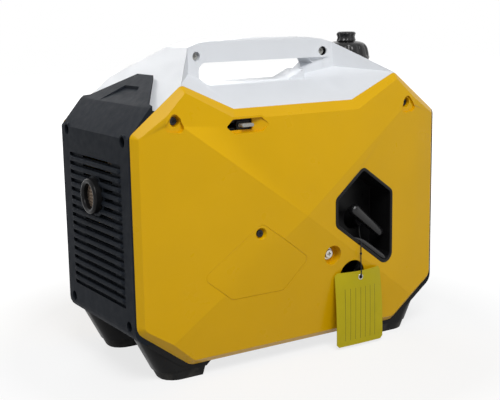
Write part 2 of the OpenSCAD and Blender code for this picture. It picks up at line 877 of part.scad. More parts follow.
// Scoop in the bib that starts flush at its foot and deepens towards the top
module bib_scoop() {
  z0 = bib_shoulder[1] + (bib_shoulder[0] - scoop_x0) * bib_slope;
  z1 = bib_shoulder[1] + (bib_shoulder[0] - scoop_x1) * bib_slope;
  intersection() {
    along_z(0, far) polygon([[-scoop_x0, -46], [-scoop_x0, 46], [-scoop_x1, 21], [-scoop_x1, -21]]);
    along_y(-far, far) polygon([[-scoop_x0, z0], [-scoop_x1, z1 - scoop_d], [-scoop_x1, far], [-scoop_x0, far]]);
  }
}
module at_deep_screws(side) {
  for (y = [-deep_screw_y, deep_screw_y], z = [deep_screw_low, deep_screw_high])
    translate([side * end_x, y, z]) children();
}
module exhaust_end_cover() {
  plate_low = louvre_z - 7;
  plate_high = louvre_z + (louvre_count - 1) * louvre_pitch + 7;
  color([0.2, 0.21, 0.23]) difference() {
    union() {
      intersection() {
        body_band();
        box([-far, -far, tray_z + gap], [-end_seam_x, far, far]);
        below_roof_corner();
      }
      bib();
      box([-end_x, -louvre_half_w - 5, plate_low], [-end_x + 7, louvre_half_w + 5, plate_high]);
      at_deep_screws(-1) rotate([0, 90, 0]) cylinder(r = deep_r + wall - 0.5, h = end_x - end_seam_x);
      rod_x(outlet_r + 4, -end_x, -end_x + 9, 0, outlet_z);
    }
    for (k = [0 : louvre_count - 1]) {
      z = louvre_z + k * louvre_pitch;
      translate([0, 0, z]) difference() {
        union() {
          along_x(-end_x - 1, -end_x + 4) stadium(2 * louvre_half_w, louvre_h);
          along_x(-end_x - 1, -end_x + 8) stadium(2 * louvre_through, louvre_h - 2);
        }
        rod_x(outlet_r + 4, -far, 0, 0, outlet_z - z);
      }
    }
    bib_scoop();
    rod_x(outlet_r, -far, -end_x + 6, 0, outlet_z);
    rod_x(outlet_bore_r + 1, -far, 0, 0, outlet_z);
    at_deep_screws(-1) translate([-1, 0, 0]) rotate([0, 90, 0]) cylinder(r = deep_r, h = deep_depth + 1);
    at_deep_screws(-1) rotate([0, 90, 0]) cylinder(r = screw_r, h = end_cover_l + 20);
  }
}
// Trims the band's corner back to the foot of the bib
module below_roof_corner() {
  edge_z = shoulder_z - 4;
  below_plane([-end_x, 0, edge_z], [-end_x, 10, edge_z], [-bib_shoulder[0], 0, bib_shoulder[1]]);
}
module exhaust_ring() {
  color([0.12, 0.12, 0.12]) difference() {
    union() {
      rod_x(outlet_r, -end_x - 12, -end_x, 0, outlet_z);
      rod_x(outlet_r - gap, -end_x - 1, -end_x + 6 - gap, 0, outlet_z);
      rod_x(outlet_bore_r + 0.7, -end_x, -end_x + 16, 0, outlet_z);
    }
    rod_x(outlet_bore_r - 1.5, -far, 0, 0, outlet_z);
    rod_x(outlet_bore_r, -end_x - 13, -end_x + 2, 0, outlet_z);
  }
}
module spark_arrestor() {
  color("gray") difference() {
    rod_x(outlet_bore_r - gap, -end_x - 4, -end_x + 2 - gap, 0, outlet_z);
    for (k = [-3 : 3], m = [-3 : 3]) if (norm([k, m]) < 3.2)
      rod_x(1.6, -far, 0, k * 4.6, outlet_z + m * 4.6);
  }
}
module end_cover_screws() {
  head_x = end_x - deep_depth;
  color("dimgray") both_ends()
    for (y = [-deep_screw_y, deep_screw_y], z = [deep_screw_low, deep_screw_high]) {
      rod_x(2 * screw_r, head_x + gap / 2, head_x + 3, y, z);
      rod_x(screw_r - 0.3, end_seam_x - 10, head_x + 1, y, z);
    }
}

// ---- control end ----

module control_end_cover() {
  color([0.2, 0.21, 0.23]) difference() {
    union() {
      intersection() {
        body_band();
        box([end_seam_x, -far, tray_z + gap], [far, far, far]);
      }
      box([end_x - 9, -panel_half_w - 3, panel_low_z - 3], [end_x, panel_half_w + 3, panel_high_z + 3]);
      at_deep_screws(1) rotate([0, -90, 0]) cylinder(r = deep_r + wall - 0.5, h = end_x - end_seam_x);
      box([end_x - 7, -louvre_half_w - 5, 90], [end_x, louvre_half_w + 5, panel_low_z]);
    }
    box([end_x - 4, -panel_half_w, panel_low_z], [far, panel_half_w, panel_high_z]);
    box([0, 8 - panel_half_w, panel_low_z + 8], [far, panel_half_w - 8, panel_high_z - 8]);
    for (k = [0 : intake_count - 1]) translate([0, 0, louvre_z - 8 + k * 9.5]) {
      along_x(end_x - 4, far) stadium(2 * louvre_half_w - 20, louvre_h);
      along_x(0, far) stadium(2 * louvre_through, louvre_h - 2);
    }
    at_deep_screws(1) translate([1, 0, 0]) rotate([0, -90, 0]) cylinder(r = deep_r, h = deep_depth + 1);
    at_deep_screws(1) rotate([0, -90, 0]) cylinder(r = screw_r, h = end_cover_l + 20);
  }
}

// ---- starter ----

// Tub behind the recess opening, with a hollow boss that brings the rope out to the grip
module starter_recess() {
  boss_l = guide_y - recess_floor;
  color([0.1, 0.1, 0.1]) mirror([0, 1, 0]) difference() {
    union() {
      difference() {
        union() {
          along_y(recess_floor, seam_y + 1) recess_outline(gap);
          intersection() {
            along_y(seam_y, far) recess_outline(gap);
            panel_face(1);
          }
        }
        along_y(recess_floor + wall, far) recess_outline(gap + wall);
      }
      translate([rope_x, recess_floor, rope_z]) rotate([-90, 0, 0])
        cylinder(r1 = 2 * guide_r, r2 = guide_r + 1, h = boss_l);
    }
    translate([rope_x, recess_floor - 1, rope_z]) rotate([-90, 0, 0])
      cylinder(r1 = 2 * guide_r - wall, r2 = guide_r + 1 - wall, h = boss_l + 1 - wall);
    rod_y(guide_r - 3, 0, far, rope_x, rope_z);
  }
}
module recess_outline(t) {
  polygon(rounded(inset(recess_corners, t), [for (r = recess_radii) r - max(0, t - gap)]));
}
module rope_guide() {
  color("dimgray") mirror([0, 1, 0]) difference() {
    union() {
      rod_y(guide_r, guide_y, guide_y + guide_flange, rope_x, rope_z);
      rod_y(guide_r - 3 - gap, guide_y - 8, guide_y + 1, rope_x, rope_z);
    }
    rod_y(rope_r + 1, 0, far, rope_x, rope_z);
  }
}
// Waisted bar with round ends and a neck that holds the rope's knot
module starter_grip() {
  neck = guide_y + guide_flange + gap;
  color([0.12, 0.12, 0.12]) mirror([0, 1, 0]) translate([rope_x, 0, rope_z]) rotate([0, grip_angle, 0]) {
    difference() {
      intersection() {
        along_y(grip_y - grip_t / 2, grip_y + grip_t / 2) difference() {
          stadium(grip_l, grip_t);
          for (s = [-1, 1]) translate([0, s * (grip_t / 2 + 56)]) circle(58, $fn = 96);
        }
        rod_x(grip_t * 0.6, -grip_l, grip_l, grip_y, 0);
      }
      rod_y(rope_r + gap, 0, grip_y);
    }
    difference() {
      rod_y(grip_t * 0.36, neck, grip_y - grip_t / 2 + 2);
      rod_y(rope_r + gap, 0, grip_y);
    }
  }
}
module starter_rope() {
  color("gainsboro") mirror([0, 1, 0]) rod_y(rope_r, 2, grip_y - gap, rope_x, rope_z);
}

module recoil_pulley() {
  color([0.25, 0.25, 0.26]) difference() {
    union() {
      rod_x(pulley_r - rope_r - gap, pulley_x0, pulley_x1, 0, crank_z);
      for (x = [pulley_x0, pulley_x1 - flange_t]) rod_x(pulley_r + 5, x, x + flange_t, 0, crank_z);
      for (a = [0, 180]) rotate_about_crank(a)
        box([cup_x1 - 6, -4, crank_z + 12], [pulley_x0 + 1, 4, crank_z + 18]);
    }
    rod_x(post_r + run_fit, 0, far, 0, crank_z);
    for (a = [0 : 60 : 300]) rotate_about_crank(a) rod_x(8, 0, far, 0, crank_z + pulley_r * 0.6);
  }
}
module rotate_about_crank(a) {
  translate([0, 0, crank_z]) rotate([a, 0, 0]) translate([0, 0, -crank_z]) children();
}
module recoil_housing() {
  inner = shroud_r - wall;
  color([0.16, 0.16, 0.17]) difference() {
    union() {
      difference() {
        rod_x(shroud_r, shroud_split + gap, housing_x1, 0, crank_z);
        rod_x(inner, 0, housing_x1 - wall, 0, crank_z);
      }
      rod_x(post_r, pulley_x0, housing_x1 - 1, 0, crank_z);
      rod_x(post_r + 5, pulley_x1 + 1, housing_x1 - 1, 0, crank_z);
    }
    box([rope_x - 8, -far, rope_z - 9], [rope_x + 8, -20, rope_z + 9]);
    for (a = [0 : 30 : 330]) rotate_about_crank(a)
      rod_x(6, housing_x1 - 4, far, 0, crank_z + shroud_r * 0.66);
  }
}
// Spiral spring between the pulley and the housing
module recoil_spring() {
  turns = 5;
  steps = 24;
  r0 = post_r + 6;
  r1 = pulley_r - 8;
  function spiral(i, off) =
    let (f = i / (turns * steps), a = 360 * turns * f) (r0 + (r1 - r0) * f + off) * [cos(a), sin(a)];
  color("silver") translate([0, 0, crank_z]) along_x(pulley_x1 + 3, housing_x1 - wall - 1.5) polygon(concat(
    [for (i = [0 : turns * steps]) spiral(i, 0)],
    [for (i = [turns * steps : -1 : 0]) spiral(i, 1)]));
}

// ---- choke ----

module choke_outline(t) {
  polygon(rounded(inset(choke_corners, t), choke_radii));
}
// Slotted tray behind the choke's pocket, which guides the lever and seats on the top cover's wall
module choke_bezel() {
  guide_w = lever_base_w + choke_travel;
  base_h = 12;
  stem_h = 6;
  color([0.08, 0.08, 0.08]) mirror([0, 1, 0]) translate([choke_slide_x, 0, choke_z]) difference() {
    union() {
      along_y(bezel_back_y, bezel_y) chamfered_square(guide_w + 7, base_h + 7, 2);
      along_y(bezel_back_y - 4, bezel_back_y) square([86, 30], center = true);
    }
    along_y(bezel_y - 3.6, far) square([guide_w + 1, base_h + 1], center = true);
    box([-choke_travel / 2 - 5, 0, -stem_h / 2], [choke_travel / 2 + 5, far, stem_h / 2]);
  }
}
// Flat tab on a base that slides behind the pocket's floor, with a stem to the choke rod
module choke_lever() {
  back_y = bezel_back_y - 10;
  color([0.75, 0.75, 0.72]) mirror([0, 1, 0]) translate([lever_x, 0, choke_z]) {
    along_y(bezel_y - 3.3, bezel_y - 0.2) chamfered_square(lever_base_w, 12, 2);
    along_y(bezel_y - 0.5, choke_floor_y + 6) chamfered_square(lever_w, 4.5, 1);
    box([-4, back_y, -2.5], [4, bezel_y - 3, 2.5]);
    box([-9, back_y, -5], [9, back_y + 4, 5]);
  }
}

// ---- fuel ----

module tank_form(t) {
  intersection() {
    along_x(tank_x0 + t, tank_x1 - t) polygon([
      [-tank_half_w + 14, tank_z + t], [tank_half_w - 14, tank_z + t], [tank_half_w - t, tank_z + 14],
      [tank_half_w - t, tank_top_z - 18], [tank_half_w - 18, tank_top_z - t],
      [-tank_half_w + 18, tank_top_z - t], [-tank_half_w + t, tank_top_z - 18],
      [-tank_half_w + t, tank_z + 14]
    ]);
    along_z(tank_z, tank_top_z) translate([(tank_x0 + tank_x1) / 2, 0])
      chamfered_square(tank_x1 - tank_x0 - 2 * t, 2 * tank_half_w, 16);
  }
}
module fuel_tank() {
  color([0.15, 0.15, 0.16]) difference() {
    union() {
      tank_form(0);
      rod_z(neck_r, tank_top_z - 4, turret_z + 4, cap_x, cap_y);
    }
    difference() {
      tank_form(tank_wall);
      rod_z(neck_r, tank_top_z - 3 * tank_wall, far, cap_x, cap_y);
    }
    rod_z(neck_r - 2, tank_z + tank_wall + 20, far, cap_x, cap_y);
  }
}
module fuel_strainer() {
  r = neck_r - 2 - gap;
  color("silver") difference() {
    union() {
      rod_z(r, turret_z - 45, turret_z + 4, cap_x, cap_y);
      rod_z(neck_r, turret_z + 4, turret_z + 5, cap_x, cap_y);
    }
    rod_z(r - 1, turret_z - 44, far, cap_x, cap_y);
  }
}
module fuel_cap() {
  color([0.1, 0.1, 0.1]) difference() {
    union() {
      translate([cap_x, cap_y, 0]) rotate_extrude() polygon([
        [0, cap_z + 8], [cap_r - 3, cap_z + 8], [cap_r - 3, cap_z], [cap_r, cap_z], [cap_r, cap_z + 4],
        [cap_r - 3, cap_z + 18], [cap_r - 8, cap_z + 24], [cap_r - 17, cap_z + cap_h], [0, cap_z + cap_h]
      ]);
      difference() {
        rod_z(neck_r + 4, cap_z + 5, cap_z + 9, cap_x, cap_y);
        rod_z(neck_r + 1, 0, cap_z + 8, cap_x, cap_y);
      }
    }
    for (k = [0 : lobe_count - 1]) translate([cap_x, cap_y, 0]) rotate(k * 360 / lobe_count)
      rod_z(4, cap_z + 6, far, cap_r + 1, 0);
    rod_z(4, cap_z + 18, far, cap_x, cap_y);
  }
}
module cap_vent_knob() {
  color([0.1, 0.1, 0.1]) translate([cap_x, cap_y, 0]) {
    difference() {
      translate([0, 0, knob_z]) cylinder(r1 = knob_r, r2 = knob_r - 1, h = knob_h);
      for (k = [0 : 7]) rotate(k * 45) rod_z(2.6, 0, far, knob_r + 1, 0);
    }
    rod_z(4 - run_fit, knob_z - 8, knob_z + 1);
  }
}

// ---- engine set ----

module crankcase() {
  color("silver") difference() {
    union() {
      rod_x(case_r, case_x0, case_x1, 0, crank_z);
      box([case_x0 + 4, -50, case_bottom + 4], [case_x1 - 4, 50, crank_z]);
      box([case_x0, -58, case_bottom], [case_x1, 58, case_bottom + 6]);
      box([cylinder_x - bore_half, -bore_half, crank_z], [cylinder_x + bore_half, bore_half, barrel_z0]);
      rod_y(11, -case_r - 12, 0, filler_at[0], filler_at[1]);
      for (k = [-2 : 2])
        box([case_x0 - 4, k * 16 - 2, case_bottom + 6], [case_x0 + 4, k * 16 + 2, crank_z + 20]);
      rod_y(6, -side_y, -30, bolt_at[0], bolt_at[1]);
    }
    rod_y(bolt_r, -far, 18 - side_y, bolt_at[0], bolt_at[1]);
    rod_x(shaft_r + run_fit, case_x1 - 40, far, 0, crank_z);
    rod_y(5, -far, -case_r + 30, filler_at[0], filler_at[1]);
    for (s = [-1, 1]) rod_x(3, case_x1 - 10, far, s * 30, crank_z - 30);
  }
}
module fin_stack(z0, z1, w, pitch) {
  for (z = [z0 : pitch : z1 - 2.5])
    translate([cylinder_x, 0, 0]) along_z(z, z + 2.5) chamfered_square(w, w, 8);
}
module cylinder_block() {
  color("silver") {
    rod_z(bore_half - 8, barrel_z0, head_z0, cylinder_x, 0);
    fin_stack(barrel_z0, head_z0, 2 * bore_half, 6.2);
  }
}
module cylinder_head() {
  color("lightgray") difference() {
    union() {
      translate([cylinder_x, 0, 0]) along_z(head_z0, head_z1) square(2 * bore_half - 12, center = true);
      fin_stack(head_z0, head_z1, 2 * bore_half, 7);
      translate([cylinder_x, 0, 0]) along_z(head_z1, head_z1 + 10) chamfered_square(56, 60, 8);
      rod_x(15, cylinder_x - bore_half - 1, cylinder_x, 0, port_z);
      rod_y(14, -bore_half - 1, 0, cylinder_x, port_z);
    }
    rod_x(9, -far, cylinder_x - 10, 0, port_z);
    rod_y(8, -far, -10, cylinder_x, port_z);
    rod_y(5 + gap, 12, far, cylinder_x, port_z);
  }
}
module spark_plug() {
  color("white") {
    rod_y(5, 14, bore_half, cylinder_x, port_z);
    rod_y(8, bore_half + gap, bore_half + 8, cylinder_x, port_z, $fn = 6);
    rod_y(5, bore_half, bore_half + 26, cylinder_x, port_z);
  }
}
module plug_cap() {
  color([0.1, 0.1, 0.1]) difference() {
    union() {
      rod_y(9, bore_half + 12, bore_half + 40, cylinder_x, port_z);
      rod_z(6, port_z - 26, port_z, cylinder_x, bore_half + 34);
    }
    rod_y(5, 0, bore_half + 26, cylinder_x, port_z);
  }
}
module crankshaft() {
  color("darkgray") {
    rod_x(shaft_r, case_x1 - 38, cup_x1 - 12, 0, crank_z);
    rod_x(shaft_r + 3, case_x1 + 3, case_x1 + 6, 0, crank_z);
  }
}
module rotor() {
  color("dimgray") difference() {
    rod_x(rotor_r, rotor_x0, rotor_x1, 0, crank_z);
    rod_x(rotor_r - 4, 0, rotor_x1 - 5, 0, crank_z);
    rod_x(shaft_r, 0, far, 0, crank_z);
  }
}
module stator() {
  color("peru") {
    difference() {
      rod_x(18, case_x1, rotor_x1 - 8, 0, crank_z);
      rod_x(shaft_r + 4, 0, far, 0, crank_z);
    }
    for (k = [0 : pole_count - 1]) rotate_about_crank(k * 360 / pole_count) {
      box([rotor_x0 + 4, -3, crank_z + 17], [rotor_x1 - 9, 3, crank_z + stator_r - 3]);
      intersection() {
        box([rotor_x0 + 2, -9, crank_z + stator_r - 5], [rotor_x1 - 7, 9, crank_z + stator_r + 2]);
        rod_x(stator_r, 0, far, 0, crank_z);
      }
    }
  }
}
module cooling_fan() {
  color([0.2, 0.2, 0.2]) difference() {
    union() {
      rod_x(fan_r - 12, fan_x0, fan_x0 + 3, 0, crank_z);
      rod_x(22, fan_x0, cup_x1, 0, crank_z);
      for (k = [0 : blade_count - 1]) rotate_about_crank(k * 360 / blade_count)
        translate([fan_x0, 0, crank_z]) rotate([-18, 0, 0]) box([0, -1.2, 20], [17, 1.2, fan_r - 3]);
    }
    rod_x(shaft_r, 0, cup_x1 - 12, 0, crank_z);
    rod_x(20, cup_x1 - 10, far, 0, crank_z);
  }
}
module fan_shroud() {
  lip = 2;
  color([0.16, 0.16, 0.17]) difference() {
    union() {
      rod_x(shroud_r, shroud_x0, shroud_split, 0, crank_z);
      for (a = [40, 140, 220, 320]) rotate_about_crank(a)
        box([case_x1, -7, crank_z + case_r - 8], [shroud_x0 + lip / 2, 7, crank_z + shroud_r - 1]);
    }
    rod_x(shroud_r - 8, shroud_x0 - lip / 2, far, 0, crank_z);
    rod_x(shroud_r - wall, shroud_x0 + lip, far, 0, crank_z);
  }
}
module ignition_coil() {
  color("saddlebrown") {
    box([rotor_x0 + 2, -16, crank_z + rotor_r + 1], [rotor_x0 + 20, 16, crank_z + rotor_r + 5]);
    box([rotor_x0 + 4, -9, crank_z + rotor_r + 5], [rotor_x0 + 18, 9, crank_z + shroud_r - wall - 1]);
    box([case_x1, -16, crank_z + rotor_r - 4], [case_x1 + 3, 16, crank_z + rotor_r + 5]);
    box([case_x1, -16, crank_z + rotor_r + 2], [rotor_x0 + 2, 16, crank_z + rotor_r + 5]);
  }
}
module carburettor() {
  color("lightgray") difference() {
    union() {
      rod_y(15, carb_y - 34, carb_y, cylinder_x, port_z);
      rod_z(16, port_z - 38, port_z - 12, cylinder_x, carb_y - 17);
      box([cylinder_x - 19, carb_y - 4, port_z - 12], [cylinder_x + 19, carb_y, port_z + 12]);
    }
    rod_y(8, -far, 0, cylinder_x, port_z);
  }
}
module air_cleaner_case() {
  color([0.1, 0.1, 0.1]) difference() {
    union() {
      box([filter_x0, filter_y0, filter_z0], [filter_x1, filter_y1 - 6, filter_z1]);
      box([filter_x1 - 8, carb_y - 44, port_z - 36], [cylinder_x + 16, carb_y - 34, port_z + 16]);
    }
    box([filter_x0 + wall, filter_y0 + wall, filter_z0 + wall],
        [filter_x1 - wall, filter_y1 - 6 - wall, filter_z1 - wall]);
    rod_y(8, -far, 0, cylinder_x, port_z);
  }
}
module air_filter() {
  m = wall + gap;
  color("khaki")
    box([filter_x0 + m, filter_y0 + m, filter_z0 + m], [filter_x1 - 30, filter_y1 - 6 - m, filter_z1 - m]);
}
module oil_dipstick() {
  color([0.1, 0.1, 0.1]) translate([filler_at[0], 0, filler_at[1]]) {
    difference() {
      rod_y(14, -case_r - 24, -case_r - 12 - gap);
      for (k = [0 : 7]) rotate([0, k * 45, 0]) translate([15, 0, 0]) rod_y(3, -far, 0);
    }
    rod_y(5 - run_fit, -case_r - 13, -case_r + 8);
  }
}
module muffler() {
  color("darkgray") difference() {
    union() {
      rod_x(muffler_r, muffler_x0 + 3, muffler_x1 - 3, 0, outlet_z);
      for (x = [muffler_x0, muffler_x1 - 3]) rod_x(muffler_r + 2, x, x + 3, 0, outlet_z);
      rod_x(outlet_bore_r - 1.5, -end_x + 16, muffler_x0, 0, outlet_z);
    }
    rod_x(outlet_bore_r - 4, -far, muffler_x0 + 40, 0, outlet_z);
  }
}
module exhaust_pipe() {
  color("peru") difference() {
    union() {
      rod_x(13, muffler_x1, cylinder_x - bore_half - 1, 0, port_z);
      along_x(cylinder_x - bore_half - 5, cylinder_x - bore_half - 1)
        translate([0, port_z]) chamfered_square(44, 34, 6);
    }
    rod_x(10, muffler_x1, 0, 0, port_z);
  }
}
module inverter_module() {
  x0 = inverter_x0;
  fins = 7;
  fin_pitch = (side_y - 29) / fins;
  color("lightsteelblue") {
    box([x0, 12 - side_y, floor_z + gap], [x0 + 10, side_y - 12, inverter_z1]);
    for (k = [-fins : fins])
      box([x0 + 10, k * fin_pitch - 1.2, floor_z + 18], [x0 + 32, k * fin_pitch + 1.2, inverter_z1 - 4]);
  }
}

// ---- control panel ----

module at_panel(at) {
  translate([0, at[0], at[1]]) children();
}
module control_panel() {
  color([0.16, 0.17, 0.18]) difference() {
    union() {
      box([plate_x, gap - panel_half_w, panel_low_z + gap], [face_x, panel_half_w - gap, panel_high_z - gap]);
      for (at = [ac_breaker_at, dc_breaker_at]) at_panel(at) rod_x(button_r + 4, plate_x - 8, face_x + 2);
      at_panel(economy_at) along_x(plate_x - 8, face_x + 2) chamfered_square(rocker_w + 6, rocker_h + 6, 2);
      at_panel(dial_at) rod_x(dial_r + 5, plate_x, face_x + 1.5);
    }
    for (at = outlet_at) at_panel(at) rod_x(socket_body_r + gap, 0, far);
    at_panel(dc_at) rod_x(dc_r + 2 + gap, 0, far);
    for (at = [ac_breaker_at, dc_breaker_at]) at_panel(at) {
      rod_x(button_r + gap, plate_x - 5, far);
      rod_x(button_r - 2, 0, far);
    }
    at_panel(economy_at) along_x(plate_x - 6, far) square([rocker_w + 1, rocker_h + 2], center = true);
    at_panel(dial_at) {
      rod_x(4 + run_fit, 0, far);
      rod_x(dial_r + 1, face_x, far);
    }
    for (at = lamp_at) at_panel(at) rod_x(3 + gap, 0, far);
    at_panel(earth_at) rod_x(3 + gap, 0, far);
  }
}
module ac_outlets() {
  color([0.12, 0.12, 0.13]) for (at = outlet_at) at_panel(at) difference() {
    union() {
      along_x(face_x, face_x + 3) chamfered_square(54, 54, 8);
      rod_x(socket_body_r, face_x - 25, face_x + 1);
    }
    rod_x(socket_r, face_x - 15, far);
    for (y = [-9.5, 9.5]) translate([0, y, 0]) rod_x(2.5, face_x - 23, far);
  }
}
module dc_socket() {
  color([0.12, 0.12, 0.13]) at_panel(dc_at) difference() {
    union() {
      rod_x(dc_r + 5, face_x, face_x + 3);
      rod_x(dc_r + 2, face_x - 28, face_x + 1);
    }
    rod_x(dc_r, face_x - 25, far);
  }
}
module push_button() {
  rod_x(button_r, plate_x - 1, face_x + 6);
  rod_x(button_r - 2 - gap, plate_x - 12, plate_x);
}
module ac_breaker() {
  color("black") at_panel(ac_breaker_at) push_button();
}
module dc_breaker() {
  color("black") at_panel(dc_breaker_at) push_button();
}
module earth_terminal() {
  color("gold") at_panel(earth_at) {
    rod_x(3, plate_x - 10, face_x + 10);
    rod_x(6, face_x, face_x + 1.5);
    rod_x(6, face_x + 2, face_x + 6, $fn = 6);
    rod_x(6, plate_x - 5, plate_x - 0.5, $fn = 6);
  }
}
module economy_switch() {
  color([0.08, 0.08, 0.08]) at_panel(economy_at) translate([rocker_axis_x, 0, 0]) rotate([90, 0, 0])
    translate([0, 0, -rocker_w / 2]) linear_extrude(rocker_w) polygon([
      [-2.5, -4], [-2.5, 4], [3, rocker_h / 2 - 1], [8.5, rocker_h / 2 - 1], [6, 0], [8.5, 1 - rocker_h / 2],
      [3, 1 - rocker_h / 2]
    ]);
}
module engine_switch() {
  color([0.1, 0.1, 0.1]) at_panel(dial_at) {
    rod_x(4, plate_x - 9, face_x + 2);
    difference() {
      rod_x(dial_r, face_x + gap, face_x + 6);
      for (k = [0 : 15]) rotate([k * 22.5, 0, 0]) rod_x(1.6, 0, far, dial_r + 0.4, 0);
    }
    along_x(face_x + 5, face_x + 13) chamfered_square(9, 2 * dial_r - 6, 3);
  }
}
module indicator_lamps() {
  colours = ["red", "orange", "limegreen"];
  for (k = [0 : 2]) color(colours[k]) at_panel(lamp_at[k]) {
    rod_x(3, plate_x - 6, face_x + 1.5);
    rod_x(4, face_x, face_x + 0.8);
  }
}

// ---- hang tag ----

module hang_tag() {
  color([0.85, 0.74, 0.1]) difference() {
    along_y(tag_y, tag_y + tag_t) translate(tag_mid) chamfered_square(tag_w, tag_h, 4);
    rod_y(2.5, -far, 0, tag_mid[0], tag_hole_z);
  }
}
// A smooth curve through the route's points, four steps a span
function spline(points, steps = 3) = concat([
  for (i = [0 : len(points) - 2], s = [0 : steps - 1])
    let (t = s / steps, a = points[max(i - 1, 0)], b = points[i], c = points[i + 1],
         d = points[min(i + 2, len(points) - 1)])
      0.5 * (2 * b + (c - a) * t + (2 * a - 5 * b + 4 * c - d) * t * t + (3 * b - a - 3 * c + d) * t * t * t)
], [points[len(points) - 1]]);
module tube_along(path, r, sides = 8) {
  n = len(path);
  function ring(i) =
    let (d = unit(path[min(i + 1, n - 1)] - path[max(i - 1, 0)]),
         u = unit(cross(d, [1, 0.2, 0])), v = cross(d, u))
      [for (k = [0 : sides - 1]) path[i] + r * (u * cos(k * 360 / sides) + v * sin(k * 360 / sides))];
  polyhedron(
    [for (i = [0 : n - 1]) each ring(i)],
    concat(
      [[for (k = [0 : sides - 1]) k]],
      [for (i = [0 : n - 2], k = [0 : sides - 1]) let (a = i * sides, b = (k + 1) % sides)
        [a + k, a + sides + k, a + sides + b, a + b]],
      [[for (k = [sides - 1 : -1 : 0]) (n - 1) * sides + k]]));
}
module tag_string() {
  color([0.1, 0.1, 0.1]) tube_along(spline(string_route), string_r);
}

base_tray();
rubber_feet();
near_side_panel();
far_side_panel();
top_cover();
exhaust_end_cover();
control_end_cover();
exhaust_ring();
spark_arrestor();
maintenance_cover();
maintenance_screw();
side_panel_screws();
end_cover_screws();
handle_screws();
starter_recess();
rope_guide();
starter_grip();
starter_rope();
recoil_housing();
recoil_pulley();
recoil_spring();
choke_bezel();
choke_lever();
fuel_tank();
fuel_strainer();
fuel_cap();
cap_vent_knob();
engine_mounts();
crankcase();
cylinder_block();
cylinder_head();
spark_plug();
plug_cap();
crankshaft();
rotor();
stator();
cooling_fan();
fan_shroud();
ignition_coil();
carburettor();
air_cleaner_case();
air_filter();
oil_dipstick();
muffler();
exhaust_pipe();
inverter_module();
control_panel();
ac_outlets();
dc_socket();
ac_breaker();
dc_breaker();
earth_terminal();
economy_switch();
engine_switch();
indicator_lamps();
hang_tag();
tag_string();
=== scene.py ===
"""Portable generator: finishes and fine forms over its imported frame.

Run as a script. Sizes are in metres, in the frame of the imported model: +X is the
control end, -Y the side with the pull starter, and the floor is at Z = 0.
"""

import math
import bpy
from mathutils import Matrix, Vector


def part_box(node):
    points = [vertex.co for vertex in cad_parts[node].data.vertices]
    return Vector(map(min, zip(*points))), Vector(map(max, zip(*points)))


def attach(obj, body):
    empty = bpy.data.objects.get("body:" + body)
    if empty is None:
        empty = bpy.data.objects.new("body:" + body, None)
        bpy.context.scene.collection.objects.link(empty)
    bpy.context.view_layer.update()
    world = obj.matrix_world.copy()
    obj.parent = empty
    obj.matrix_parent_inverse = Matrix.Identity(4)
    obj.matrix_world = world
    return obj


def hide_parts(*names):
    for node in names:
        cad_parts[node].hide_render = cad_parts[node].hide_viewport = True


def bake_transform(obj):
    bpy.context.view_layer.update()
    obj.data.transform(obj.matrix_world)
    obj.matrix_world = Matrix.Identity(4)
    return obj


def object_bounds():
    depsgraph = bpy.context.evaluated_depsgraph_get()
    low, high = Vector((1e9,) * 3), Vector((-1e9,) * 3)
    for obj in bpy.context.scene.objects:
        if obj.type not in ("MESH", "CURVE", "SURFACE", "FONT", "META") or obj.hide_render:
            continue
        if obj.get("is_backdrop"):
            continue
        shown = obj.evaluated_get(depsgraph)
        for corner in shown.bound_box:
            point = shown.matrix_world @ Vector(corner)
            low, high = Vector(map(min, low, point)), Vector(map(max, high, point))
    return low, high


bl_info = {
    "name": "Portable Generator",
    "version": (1, 0, 0),
    "blender": (4, 5, 0),
    "location": "View3D > Sidebar > Generator",
    "description": "Builds the shells, fittings and finishes of a suitcase generator",
    "category": "Object",
}

import bmesh
import bpy
from bpy.props import FloatProperty, FloatVectorProperty, IntProperty, PointerProperty
from mathutils import Matrix, Vector
from mathutils.bvhtree import BVHTree

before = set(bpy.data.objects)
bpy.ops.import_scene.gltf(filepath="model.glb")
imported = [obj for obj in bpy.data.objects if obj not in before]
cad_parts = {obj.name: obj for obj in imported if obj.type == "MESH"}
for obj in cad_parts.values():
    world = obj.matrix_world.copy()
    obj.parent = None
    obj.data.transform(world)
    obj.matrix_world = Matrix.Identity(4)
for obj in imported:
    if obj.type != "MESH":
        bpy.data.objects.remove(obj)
LOW, HIGH = (Vector(corner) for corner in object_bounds())
OUT = Vector((0, -1, 0))
UP = Vector((0, 0, 1))


# --- Sizes and colours -------------------------------------------------------------------

def size(name, description, default):
    return FloatProperty(name=name, description=description, default=default, unit="LENGTH",
                         precision=4, min=0.0)


def count_of(name, description, default, least=1):
    return IntProperty(name=name, description=description, default=default, min=least)


def power(name, description, default):
    return FloatProperty(name=name, description=description, default=default, unit="POWER",
                         min=0.0)


def paint(name, description, default):
    return FloatVectorProperty(name=name, description=description, default=default,
                               subtype="COLOR", size=3, min=0.0, max=1.0)


